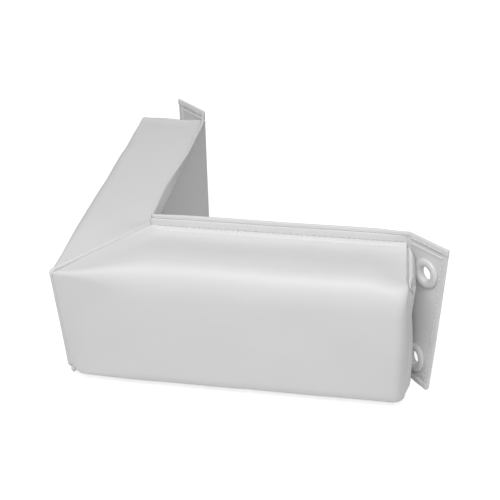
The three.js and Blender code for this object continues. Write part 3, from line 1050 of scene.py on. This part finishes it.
def panel_stations():
    """Distances along an arm of the panel, closer together by the corner, the fold and the hem."""
    panel = bpy.context.scene.bumper_panel
    fold = fold_distance()
    hem = fold + panel.flange_width - panel.side_hem
    bend_start, bend_end = fold - 4 * MM, fold + 5 * MM
    shares, _, _ = hem_shares()
    return np.concatenate([
        np.linspace(0, 2 * MM, 5), np.linspace(2 * MM, bend_start, 74)[1:],
        np.linspace(bend_start, bend_end, 13)[1:], np.linspace(bend_end, hem - 2 * MM, 28)[1:],
        hem - np.array([1.4, 0.95, 0.55, 0.2]) * MM, hem + panel.side_hem * (1 - shares[::-1]),
    ])


def panel_rows(hem):
    """Heights up the panel for a hem of each height, as a grid."""
    panel = bpy.context.scene.bumper_panel
    shares, _, _ = hem_shares()
    total = panel_height()
    low = hem[:, None] * shares[None]
    by_lip = panel.lip_height / 9.5 * np.array([6.6, 7.8, 8.6, 9.1, 9.5, 9.9, 10.4, 11.2])
    first, lower, upper = 12.4 * MM, 34 * MM, total - 42 * MM
    inner = np.concatenate([
        by_lip, np.linspace(first, lower, 16), np.linspace(lower, upper, 20)[1:],
        np.linspace(upper, total - first, 21)[1:], total - by_lip[::-1],
    ])
    inner = np.tile(inner, (len(hem), 1))
    step = hem[:, None] + np.array([[0.2, 0.5, 0.85, 1.25]]) * MM
    return np.concatenate([low, step, inner, total - step[:, ::-1], total - low[:, ::-1]], axis=1)


def lip_swell(from_edge):
    """How far the lip's dock side stands proud, at a distance from the panel's edge."""
    panel = bpy.context.scene.bumper_panel
    rise = np.clip(from_edge / panel.lip_height, 0, 1) ** 0.7
    return panel.lip_puff * rise * (1 - ramp(from_edge, panel.lip_height - 0.6 * MM, 0.9 * MM))


def panel_side(arm):
    """Grid of an arm of the panel: distances, heights, and how far front and back stand forward."""
    padding, _, panel, sewing, *_ = sizes()
    fold = fold_distance()
    tip = fold + panel.flange_width
    total = panel_height()
    distance = panel_stations()
    past_fold = ramp(distance, fold, 2.5 * MM)[:, None]
    hem = mix(panel.arm_hem, panel.flange_hem, past_fold)
    height = panel_rows(hem[:, 0])
    distance, hems = distance[:, None] + 0 * height, hem + 0 * height
    shares, rise, lift = hem_shares()

    def profile(edge, width, values):
        return np.interp(edge / width, shares, values) * (edge < width + 0.05 * MM)

    from_edge = np.minimum(height, total - height)
    from_tip = tip - distance
    side = panel.side_hem

    # The front: hems that lap at the corners, pulled in by the stitches, and lines beside them
    pull_depth, pull_width, lap, side_share = 0.14, 0.45, 0.6, 0.8
    pull = hump(np.sin(math.pi * height / sewing.stitch_pitch) / pull_width) * (from_tip > side / 2)
    level_hem = profile(from_edge, hems, rise)
    upright_hem = profile(from_tip, side, rise) * (1 - pull_depth * pull)
    front = padding.sheet + mix(panel.arm_hem_rise, panel.hem_rise, past_fold) * level_hem
    front = front + side_share * panel.hem_rise * upright_hem * (1 - lap * level_hem * past_fold)
    on_flange = ramp(distance, fold + MM, 3 * MM) * (from_tip > side)
    front = front + 0.5 * MM * bell(from_edge, 10.2 * MM, 0.8 * MM) * on_flange
    front = front - 0.6 * MM * bell(from_edge, hems + 0.6 * MM, 0.45 * MM) * on_flange
    front = front - 0.4 * MM * bell(from_tip, side + 0.6 * MM, 0.5 * MM)

    # The back: lifted edges, the lip's swelling, and the line under it
    back = np.maximum(profile(from_edge, hems, lift), profile(from_tip, side, lift))
    back = 0.8 * padding.sheet * back
    on_arm = 1 - ramp(distance, fold, 2 * MM)
    even = smooth(distance / (6 * MM)) * (1 - ramp(distance, fold - 32 * MM, 22 * MM))
    back = back - lip_swell(from_edge) * on_arm * even
    back = back + 0.8 * MM * bell(from_edge, panel.lip_height + 0.8 * MM, 1.1 * MM) * on_arm

    # The flange's lower outer corner, laid on an arc
    radius = panel.tip_radius
    corner = (from_tip < radius) & (height < radius)
    v = np.stack([radius - from_tip, radius - height], axis=-1)
    scale = np.max(v, axis=-1) / np.maximum(np.linalg.norm(v, axis=-1), 1e-9)
    distance = np.where(corner, tip - radius + v[..., 0] * scale, distance)
    height = np.where(corner, radius - v[..., 1] * scale, height)
    return distance, height, front, back


def corners_of(cells):
    """Which points of a grid are corners of the marked cells."""
    points = np.zeros((cells.shape[0] + 1, cells.shape[1] + 1), bool)
    for a, b in ((0, 0), (1, 0), (0, 1), (1, 1)):
        points[a: a + cells.shape[0], b: b + cells.shape[1]] |= cells
    return points


def grommet_holes(distance, height):
    """Which cells of the grid are in a grommet's hole. Points beside a hole move to its rim."""
    grommet = bpy.context.scene.bumper_grommets
    radius = grommet.hole + grommet.barrel + 0.4 * MM
    open_cells = np.zeros((distance.shape[0] - 1, distance.shape[1] - 1), bool)
    for level in LEVELS:
        _, _, seat = grommet_seat("right", level)
        cell_d = (distance[:-1, :-1] + distance[1:, 1:]) / 2 - seat[0]
        cell_h = (height[:-1, :-1] + height[1:, 1:]) / 2 - seat[1]
        cut = np.hypot(cell_d, cell_h) < radius + 0.5 * MM
        open_cells |= cut
        rim = corners_of(cut) & corners_of(~cut)
        off_d, off_h = distance - seat[0], height - seat[1]
        size = np.maximum(np.hypot(off_d, off_h), 1e-9)
        distance = np.where(rim, seat[0] + off_d / size * radius, distance)
        height = np.where(rim, seat[1] + off_h / size * radius, height)
    return distance, height, open_cells


def panel_skin():
    """Points and faces of the whole back panel, as one closed sheet."""
    fronts, backs, cells = [], [], []
    for arm in ("left", "right"):
        distance, height, *sides = panel_side(arm)
        distance, height, cut = grommet_holes(distance, height)
        near, far = (place(arm, panel_point(arm, distance, height, side)) for side in sides)
        if arm == "left":  # It runs to the inner corner, whose line the right arm brings
            near, far, cut = near[:0:-1], far[:0:-1], cut[::-1]
        fronts.append(near)
        backs.append(far)
        cells.append(cut)
    front, back = np.concatenate(fronts), np.concatenate(backs)
    rows, columns = front.shape[:2]
    count = rows * columns
    quads = grid_cells(np.arange(count).reshape(rows, columns))[~np.concatenate(cells)]
    edges = np.concatenate([quads[:, [i, (i + 1) % 4]] for i in range(4)])
    _, inverse, uses = np.unique(
        np.sort(edges, axis=1), axis=0, return_inverse=True, return_counts=True
    )
    rim = edges[uses[inverse.ravel()] == 1]
    walls = np.stack([rim[:, 1], rim[:, 0], rim[:, 0] + count, rim[:, 1] + count], axis=-1)
    points = np.concatenate([front.reshape(-1, 3), back.reshape(-1, 3)])
    used, faces = np.unique(
        np.concatenate([quads, quads[:, ::-1] + count, walls]), return_inverse=True
    )
    return points[used], [faces.reshape(-1, 4)]


# Stitches


def stitch_row(line, facing, lift, seed):
    """A row of stitches along a line of points on a surface that faces a way at each point."""
    sewing = bpy.context.scene.bumper_sewing
    random = np.random.default_rng(seed)
    steps = np.concatenate([[0], np.cumsum(np.linalg.norm(np.diff(line, axis=0), axis=1))])
    count = max(int(steps[-1] / sewing.stitch_pitch), 1)
    pitch = steps[-1] / count
    shares = np.array([-1, -0.86, -0.45, 0, 0.45, 0.86, 1])
    height = np.array([-0.9, -0.15, 0.42, 0.5, 0.42, -0.15, -0.9]) * sewing.thread + lift
    thick = sewing.thread / 2 * np.array([0.6, 0.95, 1.08, 1.1, 1.08, 0.95, 0.6])
    turns = np.linspace(0, 2 * math.pi, 8, endpoint=False)
    across, upward = (
        turn[None, :, None] * thick[:, None, None] for turn in (np.cos(turns), np.sin(turns))
    )

    def unit(vectors):
        return vectors / np.linalg.norm(vectors, axis=1, keepdims=True)

    parts = []
    for i in range(count):
        middle = (i + 0.5 + random.uniform(-0.04, 0.04)) * pitch
        spots = middle + sewing.stitch_length / 2 * random.uniform(0.92, 1.05) * shares
        centre, way = (
            np.stack([np.interp(spots, steps, of[:, k]) for k in range(3)], axis=-1)
            for of in (line, facing)
        )
        way = unit(way)
        centre = centre + way * height[:, None]
        forward = unit(np.gradient(centre, axis=0))
        side = unit(np.cross(forward, way))
        up = np.cross(side, forward)
        ring = centre[:, None] + side[:, None] * across + up[:, None] * upward
        parts.append((ring, tube_grid(len(shares), len(turns))))
    return joined(parts)


def surface_row(arm, distances, heights, forward):
    """Points and facings along a line on the panel, in the frame."""
    on, ahead = (
        place(arm, panel_point(arm, distances, heights, forward + step)) for step in (0, 0.2 * MM)
    )
    return on, ahead - on


def stitched(arm, distances, heights, forward, lifts, seeds):
    """The front and the back of a row of stitches through the panel."""
    front, back = (surface_row(arm, distances, heights, side) for side in forward)
    return [
        stitch_row(*front, lifts[0], seeds[0]), stitch_row(back[0], -back[1], lifts[1], seeds[1]),
    ]


# Materials


def node(tree, kind, place_at, values=None, **settings):
    """A node with its settings and its plain values."""
    made = tree.nodes.new(kind)
    made.location = place_at
    for key, value in settings.items():
        setattr(made, key, value)
    for key, value in (values or {}).items():
        made.inputs[key].default_value = value
    return made


def wire(tree, *links):
    """Links between nodes, each given as a node, its output, the next node and its input."""
    for source, output, target, socket in links:
        tree.links.new(source.outputs[output], target.inputs[socket])


def emptied(owner):
    """The node tree of a material or a world, emptied."""
    owner.use_nodes = True
    owner.node_tree.nodes.clear()
    return owner.node_tree


def effect_group(name, inputs, outputs):
    """An empty shader node group with its sockets, and its two end nodes."""
    group = bpy.data.node_groups.new(name, "ShaderNodeTree")
    for label, kind, default in inputs:
        socket = group.interface.new_socket(name=label, in_out="INPUT", socket_type=kind)
        socket.default_value = default
    for label, kind in outputs:
        group.interface.new_socket(name=label, in_out="OUTPUT", socket_type=kind)
    start = node(group, "NodeGroupInput", (-900, 0))
    end = node(group, "NodeGroupOutput", (700, 0))
    return group, start, end


def soft_variation():
    """Group: a slow uneven tint and roughness, with a fine grain height, for any smooth surface."""
    found = bpy.data.node_groups.get("Soft variation")
    if found:
        return found
    colour_kind, value_kind = "NodeSocketColor", "NodeSocketFloat"
    group, start, end = effect_group(
        "Soft variation",
        [
            ("Colour", colour_kind, (0.7, 0.7, 0.7, 1)), ("Tint", value_kind, 0.03),
            ("Roughness", value_kind, 0.5), ("Unevenness", value_kind, 0.05),
            ("Grain scale", value_kind, 1500.0), ("Patch scale", value_kind, 14.0),
        ],
        [("Colour", colour_kind), ("Roughness", value_kind), ("Height", value_kind)],
    )

    def sum_of(kind, place_at, values=None):
        return node(group, "ShaderNodeMath", place_at, values, operation=kind)

    space = node(group, "ShaderNodeTexCoord", (-900, -260))
    patches = node(group, "ShaderNodeTexNoise", (-640, 160), {"Detail": 4.0, "Roughness": 0.6})
    grain = node(group, "ShaderNodeTexNoise", (-640, -220), {"Detail": 3.0, "Roughness": 0.55})
    pores = node(group, "ShaderNodeTexVoronoi", (-640, -480), feature="F1")
    centred = sum_of("SUBTRACT", (-420, 160), {1: 0.5})
    tint = sum_of("MULTIPLY", (-220, 240))
    bright = sum_of("ADD", (-40, 240), {1: 1.0})
    shade = node(group, "ShaderNodeVectorMath", (180, 240), operation="SCALE")
    uneven = sum_of("MULTIPLY", (-220, 60))
    rough = sum_of("ADD", (180, 60))
    both = sum_of("MULTIPLY_ADD", (-220, -320), {1: 0.5, 2: 0.0})
    wire(
        group,
        (space, "Object", patches, "Vector"), (space, "Object", grain, "Vector"),
        (space, "Object", pores, "Vector"), (start, "Patch scale", patches, "Scale"),
        (start, "Grain scale", grain, "Scale"), (start, "Grain scale", pores, "Scale"),
        (patches, "Fac", centred, 0), (centred, 0, tint, 0), (start, "Tint", tint, 1),
        (tint, 0, bright, 0), (start, "Colour", shade, 0), (bright, 0, shade, "Scale"),
        (shade, 0, end, "Colour"), (centred, 0, uneven, 0), (start, "Unevenness", uneven, 1),
        (uneven, 0, rough, 0), (start, "Roughness", rough, 1), (rough, 0, end, "Roughness"),
        (pores, "Distance", both, 0), (grain, "Fac", both, 2), (both, 0, end, "Height"),
    )
    return group


def finished(name, base, roughness, tint, grain_scale, grain_height, patch_scale=14.0, extra=None):
    """A material from the soft variation group, with a bump for its grain."""
    found = bpy.data.materials.get(name)
    if found:
        return found
    material = bpy.data.materials.new(name)
    tree = emptied(material)
    out = node(tree, "ShaderNodeOutputMaterial", (500, 0))
    shader = node(tree, "ShaderNodeBsdfPrincipled", (200, 0), extra)
    look = node(tree, "ShaderNodeGroup", (-300, 0), node_tree=soft_variation())
    for key, value in {
        "Colour": (*base, 1), "Roughness": roughness, "Tint": tint, "Grain scale": grain_scale,
        "Patch scale": patch_scale,
    }.items():
        look.inputs[key].default_value = value
    bump = node(tree, "ShaderNodeBump", (-40, -240), {"Strength": 1.0, "Distance": grain_height})
    wire(
        tree,
        (look, "Colour", shader, "Base Color"), (look, "Roughness", shader, "Roughness"),
        (look, "Height", bump, "Height"), (bump, "Normal", shader, "Normal"),
        (shader, 0, out, "Surface"),
    )
    material.diffuse_color = (*base, 1)
    return material


def vinyl_material():
    """The coated vinyl."""
    look = bpy.context.scene.bumper_finishes
    return finished(
        "Coated vinyl", look.vinyl, look.vinyl_roughness, tint=0.035, grain_scale=1 / look.grain,
        grain_height=0.03 * MM, extra={"Specular IOR Level": 0.45},
    )


def thread_material():
    """The thread."""
    look = bpy.context.scene.bumper_finishes
    return finished(
        "Thread", look.thread, 0.6, tint=0.08, grain_scale=2600.0, grain_height=0.06 * MM,
        patch_scale=300.0, extra={"Sheen Weight": 0.2},
    )


def foam_material():
    """The foam."""
    look = bpy.context.scene.bumper_finishes
    return finished(
        "Closed-cell foam", look.foam, 0.92, tint=0.12, grain_scale=900.0, grain_height=0.3 * MM,
        patch_scale=60.0,
    )


def plastic_material():
    """The plastic of the grommets and washers."""
    look = bpy.context.scene.bumper_finishes
    return finished(
        "Moulded plastic", look.plastic, look.plastic_roughness, tint=0.03, grain_scale=700.0,
        grain_height=0.01 * MM, patch_scale=30.0,
    )


def seat_in_frame(piece, slot_name, *nodes):
    """Rides a piece on the one body and hides the CAD nodes that it replaces. The slot name is not
    used.
    """
    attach(piece, "root")
    if nodes:
        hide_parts(*nodes)
    return piece


# Operators

settled_arms = {}


def settled_arm(arm):
    """The settling of an arm, worked out once."""
    if arm not in settled_arms:
        settled_arms[arm] = settle(arm)
    return settled_arms[arm]


class BUMPER_OT_covers(bpy.types.Operator):
    """Make the two padded vinyl covers"""

    bl_idname = "bumper.covers"
    bl_label = "Covers"

    def execute(self, context):
        sheet = context.scene.bumper_padding.sheet
        for arm in ARMS:
            form = arm_form(arm, 0.0, fine_stations(arm))
            wrap, wall = with_settling(form, settled_arm(arm))
            wrap, wall, plain = dressed(arm, form, wrap, wall)
            faces, border, new, _, _ = skin_faces(form)
            outer = skin_points(wrap, wall, new)
            inner = skin_points(*inner_skin(form, *plain, 0.9 * sheet), new)
            count = len(outer)
            onward = np.roll(border, -1)
            rim = np.stack([border, onward, onward + count, border + count], axis=-1)
            parts = [(np.concatenate([outer, inner]), [faces, faces[:, ::-1] + count, rim])]
            parts += [turned_edge(arm, True), turned_edge(arm, False)]
            if arm == "right":
                parts.append(seam_tail())
            points, faces = joined(parts)
            piece = make_mesh(f"{arm}_padded_cover", place(arm, points), faces, vinyl_material())
            seat_in_frame(piece, "vinyl", f"{arm}_arm_cover")
        return {"FINISHED"}


class BUMPER_OT_foam(bpy.types.Operator):
    """Make the two foam blocks inside the covers"""

    bl_idname = "bumper.foam"
    bl_label = "Foam"

    def execute(self, context):
        padding = context.scene.bumper_padding
        back_off, back_off_run = 3.5 * MM, 25 * MM
        start = padding.arm_length - 30 * MM
        for arm in ARMS:
            form = arm_form(arm, padding.sheet + padding.gap, coarse_stations())
            wrap, wall = shaped(arm, form, *with_settling(form, settled_arm(arm)))
            wrap[..., 0] -= back_off * ramp(form["at"], start, back_off_run)
            wall[..., 0] -= back_off
            wall = with_border(form, wrap, wall)
            faces, new = closed_faces(form)
            points = skin_points(wrap, wall, new)
            piece = make_mesh(f"{arm}_foam_block", place(arm, points), faces, foam_material())
            seat_in_frame(piece, "foam", f"{arm}_foam_core")
        return {"FINISHED"}


class BUMPER_OT_panel(bpy.types.Operator):
    """Make the back panel with its lip, hems and flanges"""

    bl_idname = "bumper.panel"
    bl_label = "Back panel"

    def execute(self, context):
        piece = make_mesh("back_panel_sheet", *panel_skin(), vinyl_material())
        seat_in_frame(piece, "vinyl", "back_panel")
        return {"FINISHED"}


class BUMPER_OT_stitches(bpy.types.Operator):
    """Make the stitching of the lips and the flanges"""

    bl_idname = "bumper.stitches"
    bl_label = "Stitches"

    def execute(self, context):
        padding, _, panel, sewing, *_ = sizes()
        fold = fold_distance()
        tip = fold + panel.flange_width
        total, sheet, gap = panel_height(), padding.sheet, padding.gap
        along = np.linspace(3 * MM, fold - 4 * MM, 120)
        beside = np.linspace(fold + 5 * MM, tip - panel.side_hem - MM, 40)
        upward = np.linspace(6 * MM, total - 6.5 * MM, 120)
        seam = panel.lip_height - MM
        on_lip = (2 * sheet + gap, -lip_swell(seam))
        hem = 0.78 * panel.flange_hem
        for arm in ARMS:
            lips, flanges = [], []
            for i, height in enumerate((seam, total - seam)):
                seeds = (50 + i, 60 + i)
                lips += stitched(arm, along, height, on_lip, (0.0, -0.35 * MM), seeds)
            for i, height in enumerate((hem, total - hem)):
                forward, seeds = (sheet + panel.hem_rise, 0.0), (70 + i, 80 + i)
                flanges += stitched(arm, beside, height, forward, (-0.05 * MM, 0.0), seeds)
            forward = (sheet + 0.74 * panel.hem_rise, 0.0)
            flanges += stitched(arm, tip - sewing.side_row, upward, forward, (0.0, 0.0), (90, 91))
            for name, rows in (("lip", lips), ("flange", flanges)):
                piece = make_mesh(f"{arm}_{name}_stitches", *joined(rows), thread_material())
                seat_in_frame(piece, None)
        return {"FINISHED"}


def turned(profile, centre, facing, segments):
    """A turned piece from radius and height pairs that close on themselves, standing on a seat."""
    up = Vector(facing).normalized()
    turn = np.array(up.to_track_quat("Z", "Y").to_matrix())
    around = np.linspace(0, 2 * math.pi, segments, endpoint=False)
    radius, height = np.array(profile).T
    grid = np.stack([
        radius[None] * np.cos(around)[:, None], radius[None] * np.sin(around)[:, None],
        height[None] + 0 * around[:, None],
    ], axis=-1)
    return grid @ turn.T + centre, tube_grid(segments, len(profile), closed_rows=True)


class BUMPER_OT_grommets(bpy.types.Operator):
    """Make the four grommets and their washers"""

    bl_idname = "bumper.grommets"
    bl_label = "Grommets"

    def execute(self, context):
        padding, _, _, _, size, _ = sizes()
        room = 0.1 * MM
        seat = padding.sheet + room
        under = -room - size.washer
        behind = under - room
        middle, half = (size.radius + size.hole) / 2, (size.radius - size.hole) / 2
        rise = size.rise - size.edge
        dome = [
            (middle + half * math.cos(t), seat + size.edge + rise * math.sin(t) ** 0.85)
            for t in np.linspace(0, math.pi, 17)
        ]
        hole, rim, barrel = size.hole, size.rim, size.hole + size.barrel
        ring = [
            (size.radius - 0.5 * size.edge, seat), (size.radius, seat + 0.35 * size.edge),
            *dome[1:-1], (hole, seat + size.edge), (hole, 0.0), (hole, behind - 0.3 * rim),
            (hole + 0.3 * rim, behind - 0.85 * rim), (hole + 0.8 * rim, behind - rim),
            (size.rim_radius - 0.4 * rim, behind - 0.85 * rim),
            (size.rim_radius, behind - 0.4 * rim), (size.rim_radius - 0.1 * rim, behind),
            (barrel, behind), (barrel, seat),
        ]
        bore, bevel, outside = barrel + padding.gap, 0.25 * size.washer, size.washer_radius
        washer = [
            (bore, -room), (bore, under), (outside - bevel, under), (outside, under + bevel),
            (outside, -room - bevel), (outside - bevel, -room),
        ]
        for arm in ARMS:
            for level in LEVELS:
                centre, facing, _ = grommet_seat(arm, level)
                for kind, profile in (("grommet", ring), ("washer", washer)):
                    grid, faces = turned(profile, centre, facing, 72)
                    name = f"{arm}_{level}_{kind}"
                    piece = make_mesh(f"{name}_turned", place(arm, grid), faces, plastic_material())
                    seat_in_frame(piece, "grommet", name)
        return {"FINISHED"}


def direction(azimuth, elevation):
    """The way from the object to what stands at an azimuth and an elevation."""
    level = math.cos(elevation)
    return Vector((math.sin(azimuth) * level, -math.cos(azimuth) * level, math.sin(elevation)))


class BUMPER_OT_stage(bpy.types.Operator):
    """Make the floor, the light and the camera"""

    bl_idname = "bumper.stage"
    bl_label = "Stage"

    def execute(self, context):
        stage = context.scene.bumper_stage
        self.floor(context, stage)
        self.world(context, stage)
        self.lamp(context, stage)
        self.camera(context, stage)
        context.scene.view_settings.view_transform = "Standard"
        return {"FINISHED"}

    def floor(self, context, stage):
        """A wide pale floor that is white to the camera but for the object's shadow."""
        mesh = bpy.data.meshes.new("floor")
        half, low = 12.0, cad_box[0].z - 0.2 * MM
        corners = [(-half, -half, low), (half, -half, low), (half, half, low), (-half, half, low)]
        mesh.from_pydata(corners, [], [(0, 1, 2, 3)])
        floor = add_object("floor", mesh)
        material = bpy.data.materials.new("Floor")
        tree = emptied(material)
        out = node(tree, "ShaderNodeOutputMaterial", (600, 0))
        base = node(tree, "ShaderNodeBsdfDiffuse", (0, 120), {"Color": (*stage.floor, 1)})
        glow = node(tree, "ShaderNodeEmission", (0, -80), {"Color": (1, 1, 1, 1)})
        path = node(tree, "ShaderNodeLightPath", (-500, -80))
        seen = node(
            tree, "ShaderNodeMath", (-260, -80), {1: stage.floor_glow}, operation="MULTIPLY"
        )
        both = node(tree, "ShaderNodeAddShader", (300, 0))
        wire(
            tree,
            (path, "Is Camera Ray", seen, 0), (seen, 0, glow, "Strength"), (base, 0, both, 0),
            (glow, 0, both, 1), (both, 0, out, "Surface"),
        )
        mesh.materials.append(material)

    def world(self, context, stage):
        """Even light from all round, and white where the camera or a reflection sees it."""
        world = bpy.data.worlds.new("Studio")
        context.scene.world = world
        tree = emptied(world)
        white_light = {"Color": (1, 1, 1, 1)}
        out = node(tree, "ShaderNodeOutputWorld", (600, 0))
        light = node(
            tree, "ShaderNodeBackground", (0, 120), {**white_light, "Strength": stage.ambient}
        )
        white = node(tree, "ShaderNodeBackground", (0, -80), {**white_light, "Strength": 1.0})
        path = node(tree, "ShaderNodeLightPath", (-600, 300))
        first = node(tree, "ShaderNodeMath", (-300, 300), operation="MAXIMUM")
        second = node(tree, "ShaderNodeMath", (-100, 300), operation="MAXIMUM")
        choice = node(tree, "ShaderNodeMixShader", (300, 0))
        wire(
            tree,
            (path, "Is Camera Ray", first, 0), (path, "Is Glossy Ray", first, 1),
            (first, 0, second, 0), (path, "Is Transmission Ray", second, 1), (second, 0, choice, 0),
            (light, 0, choice, 1), (white, 0, choice, 2), (choice, 0, out, "Surface"),
        )

    def lamp(self, context, stage):
        """One large soft lamp, in front and above."""
        data = bpy.data.lights.new("key_lamp", "AREA")
        data.energy = stage.key_power
        data.size = stage.key_size
        lamp = add_object("key_lamp", data)
        way = direction(stage.key_azimuth, stage.key_elevation)
        lamp.location = Vector(stage.target) + way * stage.key_distance
        lamp.rotation_euler = way.to_track_quat("Z", "Y").to_euler()

    def camera(self, context, stage):
        """The camera at the photograph's angle."""
        back = direction(stage.azimuth, stage.elevation)
        level = Vector((math.cos(stage.azimuth), math.sin(stage.azimuth), 0))
        upright = back.cross(level)
        cos, sin = math.cos(stage.roll), math.sin(stage.roll)
        data = bpy.data.cameras.new("camera")
        data.sensor_width = 36
        data.lens = stage.focal
        camera = add_object("camera", data)
        turn = Matrix((cos * level + sin * upright, cos * upright - sin * level, back)).transposed()
        spot = Vector(stage.target) + back * stage.distance
        camera.matrix_world = Matrix.Translation(spot) @ turn.to_4x4()
        context.scene.camera = camera


class BUMPER_PT_sidebar(bpy.types.Panel):
    """Lists the pieces of the bumper"""

    bl_idname = "BUMPER_PT_sidebar"
    bl_label = "Dock corner bumper"
    bl_space_type = "VIEW_3D"
    bl_region_type = "UI"
    bl_category = "Bumper"

    def draw(self, context):
        for operator in OPERATORS:
            self.layout.operator(operator.bl_idname)
        for name, group in GROUPS.items():
            box = self.layout.box()
            box.label(text=group.__doc__.split(",")[0].rstrip("."))
            for key in group.__annotations__:
                box.prop(getattr(context.scene, name), key)


GROUPS = {
    "bumper_padding": PaddingSizes,
    "bumper_softness": SoftnessSizes,
    "bumper_panel": PanelSizes,
    "bumper_sewing": SewingSizes,
    "bumper_grommets": GrommetSizes,
    "bumper_finishes": Finishes,
    "bumper_stage": StageSettings,
}
OPERATORS = (
    BUMPER_OT_stage, BUMPER_OT_covers, BUMPER_OT_foam, BUMPER_OT_panel, BUMPER_OT_stitches,
    BUMPER_OT_grommets,
)
CLASSES = (*GROUPS.values(), *OPERATORS, BUMPER_PT_sidebar)


def register():
    """Adds the classes and the scene's settings."""
    for item in CLASSES:
        bpy.utils.register_class(item)
    for name, group in GROUPS.items():
        setattr(bpy.types.Scene, name, PointerProperty(type=group))


def unregister():
    """Takes them away again."""
    for name in GROUPS:
        delattr(bpy.types.Scene, name)
    for item in reversed(CLASSES):
        bpy.utils.unregister_class(item)


def main():
    """Makes everything in order."""
    register()
    bpy.ops.bumper.stage()
    bpy.ops.bumper.covers()
    bpy.ops.bumper.foam()
    bpy.ops.bumper.panel()
    bpy.ops.bumper.stitches()
    bpy.ops.bumper.grommets()


if __name__ == "__main__":
    main()
